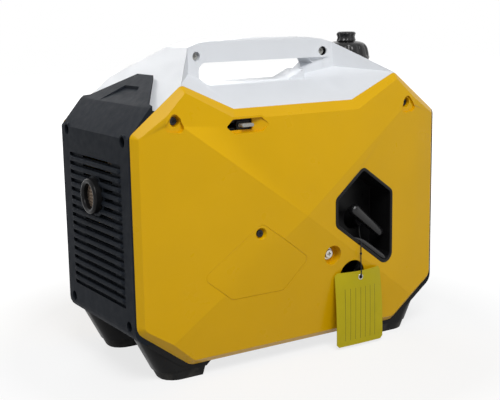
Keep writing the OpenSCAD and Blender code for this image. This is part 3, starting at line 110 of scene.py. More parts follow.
class ShellSettings(bpy.types.PropertyGroup):
    panel_rim: size("Panel rim", "Radius along the rims of the two side panels", 0.0040)
    pocket_edge: size("Pocket edge", "Rounding of the edges of the panels' pockets", 0.0016)
    panel_crease: size("Panel crease", "Width of the soft creases between a panel's facets", 0.006)
    cover_edge: size("Cover edge", "Radius along the edges of the top cover", 0.0022)
    handle_edge: size("Handle edge", "Radius along the handle's long edges", 0.0045)
    end_edge: size("End edge", "Radius along the edges of the two end covers", 0.0022)
    base_edge: size("Base edge", "Radius along the edges of the tray and its legs", 0.0025)
    screw_edge: size("Screw edge", "Rounding of the edges of the dark screws", 0.0003)
    fitting_edge: size("Fitting edge", "Rounding of the bolt and of the choke's slide", 0.0006)
    long_edge: size("Long edge", "Least length of a rim or crease of a side panel", 0.045)
    yellow: paint("Panels", "Colour of the two side panels", (0.74, 0.42, 0.0))
    white: paint("Top cover", "Colour of the top cover and handle", (0.78, 0.80, 0.83))
    slate: paint("End covers", "Colour of the exhaust and control ends", (0.0120, 0.0150, 0.0205))
    black: paint("Fittings", "Colour of the black fittings", (0.007, 0.007, 0.0075))


class LouvreSettings(bpy.types.PropertyGroup):
    count: count_of("Ribs", "Number of ribs between the louvres", 15)
    pitch: size("Pitch", "Distance between neighbouring ribs", 0.0121)
    lowest: size("Lowest", "Height of the lowest rib", 0.11205)
    length: size("Length", "Length of a rib", 0.160)
    height: size("Height", "Height of a rib", 0.0068)
    depth: size("Depth", "How far a rib stands out from the cover", 0.0022)
    intake_count: count_of("Intake ribs", "Number of ribs in the air intake", 4)
    intake_pitch: size("Intake pitch", "Distance between neighbouring intake ribs", 0.0095)
    intake_lowest: size("Intake lowest", "Height of the lowest intake rib", 0.10275)
    intake_length: size("Intake length", "Length of an intake rib", 0.140)
    outlet_wall: size("Outlet wall", "Wall of the ring round the exhaust outlet", 0.0075)
    intake_gap: size("Intake gap", "Height left open between two intake ribs", 0.0053)


class StarterSettings(bpy.types.PropertyGroup):
    flange: size("Flange", "Width of the flange round the starter's recess", 0.0046)
    flange_lift: size("Flange lift", "How far the flange stands out from the panel", 0.0008)
    lip: size("Lip", "Width of the rounded lip that the rope runs over", 0.0105)
    grip_length: size("Grip length", "Length of the starter grip", 0.074)
    thick_end: size("Thick end", "Half the thickness of the grip's upper end", 0.0088)
    thin_end: size("Thin end", "Half the thickness of the grip's lower end", 0.0064)
    rope: size("Rope", "Radius of the starter rope", 0.002)
    lay: size("Lay", "Length of one turn of the rope's strands", 0.014)


class TagSettings(bpy.types.PropertyGroup):
    bow: size("Bow", "How far the card bows towards its middle", 0.0022)
    hole: size("Hole", "Radius of the card's hole", 0.0028)
    hole_drop: size("Hole drop", "Distance of the hole from the card's top", 0.009)
    eyelet: size("Eyelet", "Radius of the ring round the card's hole", 0.0042)
    string: size("String", "Thickness of the tag's string", 0.0016)
    rules: count_of("Rules", "Number of spaces between the printed rules, margins included", 8)
    margin: size("Margin", "Width of the card's margins beside the rules", 0.006)
    print_width: size("Print width", "Half the width of the printed field", 0.0325)
    print_height: size("Print height", "Half the height of the printed field", 0.0380)
    print_drop: size("Print drop", "How far the print's middle lies below the card's", 0.008)
    card: paint("Card", "Colour of the hang tag", (0.50, 0.41, 0.006))


class CapSettings(bpy.types.PropertyGroup):
    flutes: count_of("Flutes", "Number of flutes round the fuel cap", 12, 6)
    flute_depth: size("Flute depth", "Depth of a flute in the fuel cap's skirt", 0.0022)
    knob_height: size("Knob height", "Height of the vent knob above its foot", 0.0140)
    knob_flutes: count_of("Knob flutes", "Number of flutes round the vent knob", 8, 4)


class StageSettings(bpy.types.PropertyGroup):
    key_power: power("Key light", "Power of the main soft light", 60.0)
    fill_power: power("Fill light", "Power of the fill light", 2.5)
    back_power: power("Back light", "Power of the light from behind", 34.0)
    ambient: FloatProperty(name="Ambient", description="Strength of the even sky light",
                           default=0.13, min=0.0)


SETTINGS = {
    "generator_shells": ShellSettings,
    "generator_louvres": LouvreSettings,
    "generator_starter": StarterSettings,
    "generator_tag": TagSettings,
    "generator_cap": CapSettings,
    "generator_stage": StageSettings,
}


def settings(group):
    return getattr(bpy.context.scene, "generator_" + group)


# --- Meshes --------------------------------------------------------------------------------

WELD = 2e-5
FLAT = math.radians(1.0)
# Least turn in degrees of a crease between facets, of a rim, and of any sharp edge
CREASE_TURN, RIM_TURN, SHARP_TURN = 2.5, 18, 32


def shown(name, data):
    """A new object in the scene, at the origin."""
    obj = bpy.data.objects.new(name, data)
    bpy.context.scene.collection.objects.link(obj)
    return obj


def node_object(node):
    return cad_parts[node]


def corners(node):
    return tuple(Vector(corner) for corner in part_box(node))


def middle_of(node):
    low, high = corners(node)
    return (low + high) / 2


def angles(count):
    return [2 * math.pi * k / count for k in range(count)]


def hoop(centre, radius, u, v, count):
    """Evenly spaced points on a circle that starts at u and turns to v."""
    return [centre + (u * math.cos(a) + v * math.sin(a)) * radius for a in angles(count)]


def merged(node):
    """A copy of a CAD node's mesh with its triangles joined into whole faces."""
    bm = bmesh.new()
    bm.from_mesh(node_object(node).data)
    bmesh.ops.remove_doubles(bm, verts=bm.verts, dist=WELD)
    bmesh.ops.dissolve_limit(bm, angle_limit=FLAT, verts=bm.verts, edges=bm.edges)
    return bm


def keep_solids(bm, wanted):
    """Drops the loose solids whose middle isn't wanted."""
    bm.verts.ensure_lookup_table()
    left = set(bm.verts)
    while left:
        island = [left.pop()]
        for vert in island:
            for edge in vert.link_edges:
                other = edge.other_vert(vert)
                if other in left:
                    left.remove(other)
                    island.append(other)
        middle = sum((v.co for v in island), Vector()) / len(island)
        if not wanted(middle):
            bmesh.ops.delete(bm, geom=island, context="VERTS")


def soften(bm, radius, segments=3, least=SHARP_TURN, most=180, where=None):
    """Rounds the edges that turn by an angle between the least and the most, in degrees."""
    low, high = math.radians(least), math.radians(most)
    edges = [e for e in bm.edges
             if len(e.link_faces) == 2 and low < e.calc_face_angle(0.0) <= high
             and (where is None or where(e))]
    bmesh.ops.bevel(bm, geom=edges, offset=radius, offset_type="OFFSET", segments=segments,
                    profile=0.5, affect="EDGES", clamp_overlap=True, miter_outer="ARC")


def object_of(name, bm, material, sharp=38):
    mesh = bpy.data.meshes.new(name)
    bm.to_mesh(mesh)
    bm.free()
    mesh.polygons.foreach_set("use_smooth", [True] * len(mesh.polygons))
    mesh.set_sharp_from_angle(angle=math.radians(sharp))
    mesh.materials.append(material)
    return shown(name, mesh)


def bake(obj):
    """Turns the object and its modifiers into a plain mesh."""
    depsgraph = bpy.context.evaluated_depsgraph_get()
    mesh = bpy.data.meshes.new_from_object(obj.evaluated_get(depsgraph), depsgraph=depsgraph)
    obj.modifiers.clear()
    obj.data = mesh


def place(obj, body, replaces=()):
    if body:
        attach(obj, body)
    if replaces:
        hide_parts(*replaces)
    return obj


def piece(name, bm, slot, body="root", replaces=(), sharp=38):
    """Closes a mesh into one finished piece that rides on a body."""
    obj = object_of(name, bm, MATERIALS[slot], sharp)
    weighted = obj.modifiers.new("Weighted", "WEIGHTED_NORMAL")
    weighted.keep_sharp = True
    bake(obj)
    return place(obj, body, replaces)


def ring_strip(bm, rings, closed=True, capped=False):
    """Joins rings of points, each as long as the last, into one skin."""
    rows = [[bm.verts.new(point) for point in ring] for ring in rings]
    pairs = list(zip(rows, rows[1:]))
    if closed:
        pairs.append((rows[-1], rows[0]))
    for a, b in pairs:
        for i in range(len(a)):
            j = (i + 1) % len(a)
            bm.faces.new((a[i], a[j], b[j], b[i]))
    if capped:
        bm.faces.new(list(reversed(rows[0])))
        bm.faces.new(rows[-1])
    bmesh.ops.recalc_face_normals(bm, faces=bm.faces)


def turned(rings):
    """A closed form from rings of points, with flat ends."""
    bm = bmesh.new()
    ring_strip(bm, rings, closed=False, capped=True)
    return bm


def smooth_route(points, steps):
    """A smooth curve through points, with a number of steps to each span."""
    pts = [Vector(p) for p in points]
    route = []
    for i in range(len(pts) - 1):
        a, b, c, d = pts[max(i - 1, 0)], pts[i], pts[i + 1], pts[min(i + 2, len(pts) - 1)]
        for s in range(steps):
            t = s / steps
            route.append(0.5 * (2 * b + (c - a) * t + (2 * a - 5 * b + 4 * c - d) * t * t
                                + (3 * b - a - 3 * c + d) * t ** 3))
    return route + [pts[-1]]


def skin_of(node):
    mesh = node_object(node).data
    return BVHTree.FromPolygons([v.co.copy() for v in mesh.vertices],
                                [tuple(p.vertices) for p in mesh.polygons])


# --- Node trees ----------------------------------------------------------------------------

def new_node(tree, kind, inputs=None, **values):
    """Adds a node with its properties; each of its inputs gets a socket or a plain value."""
    node = tree.nodes.new(kind)
    for key, value in values.items():
        setattr(node, key, value)
    for key, source in (inputs or {}).items():
        if isinstance(source, bpy.types.NodeSocket):
            tree.links.new(source, node.inputs[key])
        else:
            node.inputs[key].default_value = source
    return node


def math_node(tree, operation, a, b, clamped=False):
    return new_node(tree, "ShaderNodeMath", {0: a, 1: b}, operation=operation,
                    use_clamp=clamped).outputs[0]


def spread(tree, value, low, high, start=0.0, stop=1.0):
    """The value's span from start to stop, spread over the span from low to high."""
    return new_node(tree, "ShaderNodeMapRange", {
        "Value": value, "From Min": start, "From Max": stop, "To Min": low, "To Max": high,
    }).outputs["Result"]


def new_tree(name, **inputs):
    """A geometry tree with an input for the points, and named ones: numbers and a finish."""
    tree = bpy.data.node_groups.new(name, "GeometryNodeTree")
    sockets = {"Geometry": "Geometry", **inputs, "Finish": "Material"}
    for label, kind in sockets.items():
        tree.interface.new_socket(label, in_out="INPUT", socket_type="NodeSocket" + kind)
    tree.interface.new_socket("Geometry", in_out="OUTPUT", socket_type="NodeSocketGeometry")
    return tree, tree.nodes.new("NodeGroupInput")


def finish_tree(tree, start, geometry):
    """Ends a tree with real geometry that has its finish and is shaded smooth."""
    real = new_node(tree, "GeometryNodeRealizeInstances", {0: geometry})
    smooth = new_node(tree, "GeometryNodeSetShadeSmooth", {"Geometry": real.outputs[0]})
    finish = new_node(tree, "GeometryNodeSetMaterial", {
        "Geometry": smooth.outputs[0], "Material": start.outputs["Finish"]})
    new_node(tree, "NodeGroupOutput", {0: finish.outputs[0]})


def grow(name, tree, values, points, slot):
    """Runs a tree on loose points and keeps what it makes as a plain mesh."""
    mesh = bpy.data.meshes.new(name)
    mesh.from_pydata([tuple(p) for p in points], [], [])
    obj = shown(name, mesh)
    modifier = obj.modifiers.new(name, "NODES")
    modifier.node_group = tree
    values = dict(values, Finish=MATERIALS[slot])
    for socket in tree.interface.items_tree:
        if socket.in_out == "INPUT" and socket.name in values:
            modifier[socket.identifier] = values[socket.name]
    bake(obj)
    if not obj.data.polygons:
        raise RuntimeError(name + " came out empty")
    return place(obj, "root")


# --- Materials -----------------------------------------------------------------------------

def bare_tree(owner):
    owner.use_nodes = True
    owner.node_tree.nodes.clear()
    return owner.node_tree


def noise(tree, coords, width, detail=2.0, stretch=None):
    source = coords.outputs["Object"]
    if stretch:
        source = new_node(tree, "ShaderNodeMapping",
                          {"Vector": source, "Scale": stretch}).outputs[0]
    return new_node(tree, "ShaderNodeTexNoise", {
        "Vector": source, "Scale": 1.0 / width, "Detail": detail}).outputs["Fac"]


def ramp(tree, value, stops):
    node = new_node(tree, "ShaderNodeValToRGB", {"Fac": value})
    for element, (position, colour) in zip(node.color_ramp.elements, stops):
        element.position = position
        element.color = (*colour, 1.0)
    return node.outputs["Color"]


def blended(tree, amount, colour, other):
    return new_node(tree, "ShaderNodeMix", {"Factor": amount, 6: colour, 7: (*other, 1.0)},
                    data_type="RGBA").outputs[2]


def product(tree, a, b):
    return math_node(tree, "MULTIPLY", a, b, True)


SCUFF_WIDTH = 0.012
SCUFF_STRETCH = (1.0, 1.0, 7.0)
SPECK_WIDTH = 0.02
DUST_COLOUR = (0.16, 0.15, 0.135)
DUST_HEIGHT = 0.09


def surface(name, colour, rough, shade=0.05, patch=0.06, grain=0.0008, relief=0.00004,
            specular=0.3, coat=0.0, metallic=0.0, brushed=None, dust=0.0, scuff=0.0):
    """A finish: colour that drifts a little, gloss in patches, a fine grain, dust and scuffs."""
    material = bpy.data.materials.new(name)
    tree = bare_tree(material)
    coords = new_node(tree, "ShaderNodeTexCoord")
    dark = [c * (1.0 - shade) for c in colour]
    light = [min(1.0, c * (1.0 + shade)) for c in colour]
    base = ramp(tree, noise(tree, coords, patch, 3.0), [(0.3, dark), (0.7, light)])
    gloss = spread(tree, noise(tree, coords, patch * 0.35, 4.0), rough[0], rough[1], 0.25, 0.75)
    if scuff:
        streaks = noise(tree, coords, SCUFF_WIDTH, 6.0, SCUFF_STRETCH)
        marks = spread(tree, streaks, 0.0, scuff, 0.66, 0.78)
        base = blended(tree, marks, base, [min(1.0, c * 1.6 + 0.02) for c in colour])
        gloss = math_node(tree, "ADD", gloss, marks, True)
    if dust:
        up = new_node(tree, "ShaderNodeSeparateXYZ", {0: coords.outputs["Object"]}).outputs["Z"]
        low = spread(tree, up, dust, 0.0, 0.0, DUST_HEIGHT)
        specks = spread(tree, noise(tree, coords, SPECK_WIDTH, 5.0), 0.0, 1.0, 0.42, 0.7)
        base = blended(tree, product(tree, low, specks), base, DUST_COLOUR)
    bump = new_node(tree, "ShaderNodeBump", {
        "Height": noise(tree, coords, grain, 1.0, brushed), "Distance": relief})
    shader = new_node(tree, "ShaderNodeBsdfPrincipled", {
        "Base Color": base, "Roughness": gloss, "Normal": bump.outputs["Normal"],
        "Metallic": metallic, "Specular IOR Level": specular, "Coat Weight": coat,
        "Coat Roughness": 0.1})
    new_node(tree, "ShaderNodeOutputMaterial", {"Surface": shader.outputs["BSDF"]})
    return material


MATERIALS = {}


# --- Operators -----------------------------------------------------------------------------

WHITE = (1.0, 1.0, 1.0, 1.0)
CAMERA = {"spot": (-0.78406, -1.22299, 0.48394), "azimuth": -32.4330, "elevation": 10.8777,
          "roll": -0.9459, "lens": 72.7}
LIGHTS = {  # place and width of each soft light
    "key": ((-0.6, -1.7, 2.35), 1.3),
    "fill": ((1.7, -1.3, 0.8), 1.4),
    "back": ((0.5, 2.3, 0.9), 1.6),
}
FLOOR_HALF = 6.0
FLOOR_GREY = (0.52, 0.52, 0.52, 1.0)
FLOOR_GLOW = 1.28
GLOW_SHARE = (0.6, 1.0)  # of the glow in the floor, near the object and further out
GLOW_REACH = (0.35, 0.85)


class GENERATOR_OT_stage(bpy.types.Operator):
    """Adds the camera, the pale floor and the soft lights"""
    bl_idname = "generator.stage"
    bl_label = "Stage"

    def execute(self, context):
        s = settings("stage")
        camera_at(**CAMERA)
        pale_floor()
        studio_sky(s.ambient)
        for name, (spot, width) in LIGHTS.items():
            soft_light(name, spot, width, getattr(s, name + "_power"))
        context.scene.view_settings.view_transform = "Standard"
        return {"FINISHED"}


def camera_at(spot, azimuth, elevation, roll, lens):
    az, el, r = (math.radians(a) for a in (azimuth, elevation, roll))
    back = Vector((math.sin(az) * math.cos(el), -math.cos(az) * math.cos(el), math.sin(el)))
    right = (-back).cross(UP).normalized()
    up = right.cross(-back)
    side = right * math.cos(r) + up * math.sin(r)
    over = up * math.cos(r) - right * math.sin(r)
    turn = Matrix((side, over, back)).transposed().to_4x4()
    data = bpy.data.cameras.new("camera")
    data.lens = lens
    data.sensor_width = 36.0
    camera = shown("camera", data)
    camera.matrix_world = Matrix.Translation(spot) @ turn
    bpy.context.scene.camera = camera


def soft_light(name, spot, width, power):
    data = bpy.data.lights.new(name, "AREA")
    data.size = width
    data.energy = power
    aim = ((LOW + HIGH) / 2 - Vector(spot)).to_track_quat("-Z", "Y")
    shown(name, data).matrix_world = Matrix.Translation(spot) @ aim.to_matrix().to_4x4()


def seen_rays(tree):
    """A socket that is 1 for rays that show the background: camera, glossy and transmission."""
    path = new_node(tree, "ShaderNodeLightPath")
    seen = path.outputs["Is Camera Ray"]
    for ray in ("Is Glossy Ray", "Is Transmission Ray"):
        seen = math_node(tree, "MAXIMUM", seen, path.outputs[ray])
    return seen


def studio_sky(ambient):
    sky = bpy.data.worlds.new("studio")
    tree = bare_tree(sky)
    even = new_node(tree, "ShaderNodeBackground", {
        "Color": (0.95, 0.97, 1.0, 1.0), "Strength": ambient})
    white = new_node(tree, "ShaderNodeBackground", {"Color": WHITE, "Strength": 1.0})
    mix = new_node(tree, "ShaderNodeMixShader", {
        0: seen_rays(tree), 1: even.outputs[0], 2: white.outputs[0]})
    new_node(tree, "ShaderNodeOutputWorld", {"Surface": mix.outputs[0]})
    bpy.context.scene.world = sky


def pale_floor():
    """A white floor that keeps the object's shadow near it and is plain white further out."""
    mesh = bpy.data.meshes.new("floor")
    r = FLOOR_HALF
    mesh.from_pydata([(-r, -r, 0), (r, -r, 0), (r, r, 0), (-r, r, 0)], [], [(0, 1, 2, 3)])
    material = bpy.data.materials.new("pale_floor")
    tree = bare_tree(material)
    coords = new_node(tree, "ShaderNodeTexCoord")
    reach = new_node(tree, "ShaderNodeVectorMath", {0: coords.outputs["Object"]},
                     operation="LENGTH")
    away = spread(tree, reach.outputs["Value"], *GLOW_SHARE, *GLOW_REACH)
    diffuse = new_node(tree, "ShaderNodeBsdfDiffuse", {"Color": FLOOR_GREY})
    glow = new_node(tree, "ShaderNodeEmission", {"Color": WHITE, "Strength": FLOOR_GLOW})
    mix = new_node(tree, "ShaderNodeMixShader", {
        0: product(tree, seen_rays(tree), away), 1: diffuse.outputs[0], 2: glow.outputs[0]})
    new_node(tree, "ShaderNodeOutputMaterial", {"Surface": mix.outputs[0]})
    mesh.materials.append(material)
    shown("floor", mesh)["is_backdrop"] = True


class GENERATOR_OT_finishes(bpy.types.Operator):
    """Gives every carried-over solid its moulded, cast or turned finish"""
    bl_idname = "generator.finishes"
    bl_label = "Finishes"

    def execute(self, context):
        make_materials()
        for node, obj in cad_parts.items():
            for spot in obj.material_slots:
                spot.material = MATERIALS[NODE_FINISH[node]]
            soft_edges(obj, NODE_EDGE.get(node, HAIR_EDGE))
        return {"FINISHED"}


FINISH_NODES = {
    "yellow_shell": "near_side_panel far_side_panel",
    "yellow_hatch": "maintenance_cover",
    "white_cover": "top_cover",
    "slate_cover": "exhaust_end_cover control_end_cover",
    "panel_plastic": "control_panel",
    "black_plastic": "base_tray starter_recess starter_grip recoil_housing recoil_pulley "
                     "choke_bezel fuel_tank cooling_fan fan_shroud air_cleaner_case "
                     "oil_dipstick exhaust_ring ac_outlets dc_socket ac_breaker dc_breaker "
                     "economy_switch engine_switch",
    "glossy_black": "fuel_cap cap_vent_knob",
    "black_rubber": "rubber_feet engine_mounts plug_cap",
    # The handle screws take this mid-grey as painted shade: it stands for the shadow in their deep
    # holes
    "lever_grey": "choke_lever handle_screws",
    "dark_screw": "maintenance_screw side_panel_screws end_cover_screws rope_guide",
    "cast_aluminium": "crankcase cylinder_block cylinder_head carburettor inverter_module",
    "steel": "fuel_strainer recoil_spring crankshaft rotor",
    "hot_steel": "spark_arrestor muffler exhaust_pipe",
    "copper": "stator ignition_coil",
    "brass": "earth_terminal",
    "ceramic": "spark_plug",
    "foam": "air_filter",
    "rope": "starter_rope",
    "lamp_lens": "indicator_lamps",
    "tag_card": "hang_tag",
    "string": "tag_string",
}
NODE_FINISH = {node: finish for finish, nodes in FINISH_NODES.items() for node in nodes.split()}
HAIR_EDGE = 0.0004
NODE_EDGE = {"maintenance_cover": 0.0005, "rubber_feet": 0.0010}


def make_materials():
    s = settings("shells")
    yellow = dict(colour=s.yellow, rough=(0.26, 0.34), shade=0.025, patch=0.09, grain=0.0012,
                  relief=0.00002, specular=0.2)

    def metal(colour, rough, patch=0.02, shade=0.08):
        return dict(colour=colour, rough=rough, patch=patch, shade=shade, metallic=1.0,
                    grain=0.0006, brushed=(1.0, 1.0, 6.0))

    table = {
        "yellow_shell": dict(yellow, scuff=0.05),
        "yellow_hatch": yellow,
        "white_cover": dict(colour=s.white, rough=(0.34, 0.46), shade=0.015, specular=0.25),
        "slate_cover": dict(colour=s.slate, rough=(0.58, 0.7), shade=0.08, patch=0.03,
                            grain=0.0009, relief=0.00005, specular=0.07, dust=0.03, scuff=0.03),
        "black_plastic": dict(colour=s.black, rough=(0.26, 0.4), shade=0.15, patch=0.03,
                              specular=0.13, dust=0.03),
        "glossy_black": dict(colour=s.black, rough=(0.2, 0.3), shade=0.15, patch=0.03,
                             specular=0.35),
        "black_rubber": dict(colour=(0.008, 0.008, 0.008), rough=(0.6, 0.8), shade=0.25,
                             patch=0.02, relief=0.00008, specular=0.2, dust=0.3),
        "panel_plastic": dict(colour=(0.03, 0.031, 0.034), rough=(0.4, 0.5), shade=0.1,
                              specular=0.25),
        "screw_steel": metal((0.42, 0.42, 0.43), (0.25, 0.4), 0.008),
        "dark_screw": metal((0.030, 0.030, 0.033), (0.3, 0.45), 0.008),
        "bolt_steel": metal((0.50, 0.49, 0.46), (0.2, 0.36), 0.006),
        "cast_aluminium": dict(colour=(0.50, 0.51, 0.52), rough=(0.4, 0.6), metallic=1.0,
                               grain=0.0015, relief=0.0001, patch=0.02),
        "steel": metal((0.40, 0.40, 0.41), (0.3, 0.45)),
        "hot_steel": metal((0.22, 0.17, 0.13), (0.45, 0.65), 0.03, 0.3),
        "brass": metal((0.72, 0.50, 0.16), (0.25, 0.4), 0.01),
        "copper": metal((0.62, 0.26, 0.10), (0.3, 0.45), 0.01),
        "rope": dict(colour=(0.012, 0.012, 0.012), rough=(0.7, 0.85), shade=0.3, patch=0.004),
        "string": dict(colour=(0.010, 0.010, 0.010), rough=(0.7, 0.85), shade=0.3, patch=0.002),
        "foam": dict(colour=(0.02, 0.022, 0.02), rough=(0.85, 0.95), grain=0.002, relief=0.001),
        "ceramic": dict(colour=(0.80, 0.80, 0.77), rough=(0.12, 0.2), shade=0.03, coat=0.6),
        "lamp_lens": dict(colour=(0.45, 0.03, 0.01), rough=(0.1, 0.2), coat=0.7),
        # Grey of the choke's finger tab; on the handle screws the same grey is painted shade for
        # their deep holes
        "lever_grey": dict(colour=(0.36, 0.36, 0.34), rough=(0.4, 0.5), shade=0.05),
        "mark_white": dict(colour=(0.70, 0.70, 0.68), rough=(0.45, 0.55), shade=0.04),
    }
    for name, facts in table.items():
        MATERIALS[name] = surface(name, **facts)
    MATERIALS["tag_card"] = card_finish(settings("tag"))


def card_finish(s):
    """Matt card with fine fibres and the thin rules of a blank form running down it."""
    material = surface("tag_card", s.card, (0.5, 0.62), shade=0.03, patch=0.03, grain=0.0004,
                       relief=0.00002, specular=0.25)
    tree = material.node_tree
    spots = {node.type: node for node in tree.nodes}
    spot = spots["TEX_COORD"].outputs["Object"]
    colour_in = spots["BSDF_PRINCIPLED"].inputs["Base Color"]
    low, high = corners("hang_tag")
    middle = (low + high) / 2
    x = new_node(tree, "ShaderNodeSeparateXYZ", {0: spot}).outputs["X"]
    across = spread(tree, x, 0.0, s.rules, low.x + s.margin, high.x - s.margin)
    rule = spread(tree, math_node(tree, "PINGPONG", across, 0.5), 1.0, 0.0, 0.02, 0.04)
    offset = new_node(tree, "ShaderNodeVectorMath", {
        0: spot, 1: (middle.x, 0.0, middle.z - s.print_drop)}, operation="SUBTRACT")
    apart = new_node(tree, "ShaderNodeVectorMath", {0: offset.outputs[0]}, operation="ABSOLUTE")
    reach = new_node(tree, "ShaderNodeSeparateXYZ", {0: apart.outputs[0]})
    ink = rule
    for axis, half in (("X", s.print_width), ("Z", s.print_height)):
        inside = spread(tree, reach.outputs[axis], 1.0, 0.0, half, half + 0.0002)
        ink = product(tree, ink, inside)
    tree.links.new(blended(tree, ink, colour_in.links[0].from_socket, (0.05, 0.045, 0.01)),
                   colour_in)
    return material


def soft_edges(obj, width):
    """Breaks the sharp edges of a carried-over solid by a hair, as any moulding has them."""
    weld = obj.modifiers.new("Weld", "WELD")
    weld.merge_threshold = WELD
    flat = obj.modifiers.new("Whole faces", "DECIMATE")
    flat.decimate_type = "DISSOLVE"
    flat.angle_limit = FLAT
    bevel = obj.modifiers.new("Edges", "BEVEL")
    bevel.width = width
    bevel.segments = 2
    bevel.limit_method = "ANGLE"
    bevel.angle_limit = math.radians(SHARP_TURN)
    weighted = obj.modifiers.new("Weighted", "WEIGHTED_NORMAL")
    weighted.keep_sharp = False


class GENERATOR_OT_hang_tag(bpy.types.Operator):
    """Hangs the card on its string, which is tied to the starter grip"""
    bl_idname = "generator.hang_tag"
    bl_label = "Hang tag"

    def execute(self, context):
        s = settings("tag")
        low, high = corners("hang_tag")
        hole = Vector((middle_of("hang_tag").x, low.y, high.z - s.hole_drop))
        bowed_card(low, high, s.bow)
        rope = middle_of("rope_guide")
        start = Vector((rope.x, 0.0, rope.z))
        route = [start + Vector(p) for p in STRING_ROUTE]
        path = smooth_route(route, 5)
        eyelet("tag_eyelet", hole, s.eyelet, s.hole)
        knot = half_knot("tag_knot", route[KNOT_AT], s.string / 2)
        end_knot = half_knot("tag_end_knot", hole + OUT * 0.0012, s.string / 2)
        string = string_curve("tag_cord", path, s.string)
        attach(string, "starter_grip")
        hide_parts("tag_string")
        return {"FINISHED"}


STRING_ROUTE = (
    (-0.0055, -0.097, -0.0045), (-0.0075, -0.099, -0.009), (-0.0125, -0.106, -0.017),
    (-0.0205, -0.119, -0.024), (-0.0265, -0.127, -0.025), (-0.029, -0.1305, -0.030),
    (-0.030, -0.1315, -0.040), (-0.031, -0.133, -0.054), (-0.0315, -0.1346, -0.064),
    (-0.0315, -0.1350, -0.070),
)
KNOT_AT = 6  # in the route
CARD_CUTS = (16, 14)  # strips across the card and along it
# Bow at the card's foot and its growth to the top, as shares of the full bow
FOOT_BOW, BOW_GROWTH = 0.35, 3.2
CARD_BELLY = 0.0006


def bowed_card(low, high, bow):
    """The card: its sides lie further back than its middle, and more so at the top."""
    bm = merged("hang_tag")
    for normal, steps in zip((Vector((1, 0, 0)), UP), CARD_CUTS):
        for k in range(1, steps):
            spot = low.lerp(high, k / steps)
            bmesh.ops.bisect_plane(bm, geom=bm.verts[:] + bm.edges[:] + bm.faces[:],
                                   plane_co=spot, plane_no=normal, dist=1e-6)
    middle, half = (low.x + high.x) / 2, (high.x - low.x) / 2
    for vert in bm.verts:
        up = (vert.co.z - low.z) / (high.z - low.z)
        u = (vert.co.x - middle) / half
        sag = bow * (FOOT_BOW + BOW_GROWTH * up * up)
        vert.co.x = middle + half * (u - 2 / 3 * (sag / half) ** 2 * u ** 3)
        vert.co.y += sag * u * u - CARD_BELLY * math.sin(math.pi * up)
    return piece("tag_card", bm, "tag_card", "starter_grip", ("hang_tag",))


def torus_mesh(bm, centre, axis, radius, thick, around=28, section=10):
    axis = axis.normalized()
    u = axis.orthogonal().normalized()
    outward = hoop(Vector(), 1.0, u, axis.cross(u), around)
    ring_strip(bm, [hoop(centre + out * radius, thick, out, axis, section) for out in outward])


def eyelet(name, centre, radius, hole):
    bm = bmesh.new()
    middle = centre + OUT * 0.0002
    torus_mesh(bm, middle, OUT, (radius + hole) / 2, (radius - hole) / 2)
    for vert in bm.verts:
        vert.co.y = middle.y + (vert.co.y - middle.y) * 0.55
    return piece(name, bm, "screw_steel", "starter_grip")


def half_knot(name, centre, thick):
    """Three crossed turns of string drawn tight."""
    bm = bmesh.new()
    for axis, rise, girth in (((0.3, 0.2, 1.0), 0.0, 1.25), ((-0.5, 0.1, 1.0), 1.1, 1.15),
                              ((1.0, 0.3, 0.4), 0.0, 1.1)):
        torus_mesh(bm, centre + UP * thick * rise, Vector(axis), thick * girth, thick, 20, 8)
    return piece(name, bm, "string", "starter_grip")


def string_curve(name, points, thickness):
    curve = bpy.data.curves.new(name, "CURVE")
    curve.dimensions = "3D"
    curve.bevel_depth = thickness / 2
    curve.bevel_resolution = 3
    curve.use_fill_caps = True
    spline = curve.splines.new("POLY")
    spline.points.add(len(points) - 1)
    for spot, point in zip(spline.points, points):
        spot.co = (*point, 1.0)
    curve.materials.append(MATERIALS["string"])
    return shown(name, curve)


class GENERATOR_OT_starter(bpy.types.Operator):
    """Makes the starter's rope and grip, and the flange and lip of its recess"""
    bl_idname = "generator.starter"
    bl_label = "Starter"

    def execute(self, context):
        s = settings("starter")
        starter_rope(s)
        starter_grip(s)
        recess_trim(s)
        return {"FINISHED"}


ROPE_STEPS = 72
STRANDS = 3
GROOVE = 0.09  # depth of the grooves between the strands, as a share of the rope's radius


def starter_rope(s):
    """Three-strand rope from the pulley to the grip, fixed in place and tied to no body."""
    low, high = corners("starter_rope")
    x, _, z = middle_of("starter_rope")
    rings = []
    for i in range(ROPE_STEPS + 1):
        y = high.y + (low.y - high.y) * i / ROPE_STEPS
        turn = 2 * math.pi * (high.y - y) / s.lay
        ring = []
        for a in angles(24):
            bulge = abs(math.cos(STRANDS / 2 * (a + turn)))
            r = s.rope * (1.0 - GROOVE + GROOVE * bulge)
            ring.append(Vector((x + r * math.cos(a), y, z + r * math.sin(a))))
        rings.append(ring)
    obj = piece("starter_rope_strands", turned(rings), "rope", None, ("starter_rope",))
    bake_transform(obj)


# Distances from the grip's box: in from its front, and from its upper corners to the bar's
# line; then the squareness of its section, its width and depth, and its waist, as shares
GRIP_IN, GRIP_CORNER = 0.0102, 0.017
GRIP_SQUARE, GRIP_WIDE, GRIP_DEEP, GRIP_WAIST = 0.85, 1.03, 0.95, 0.05


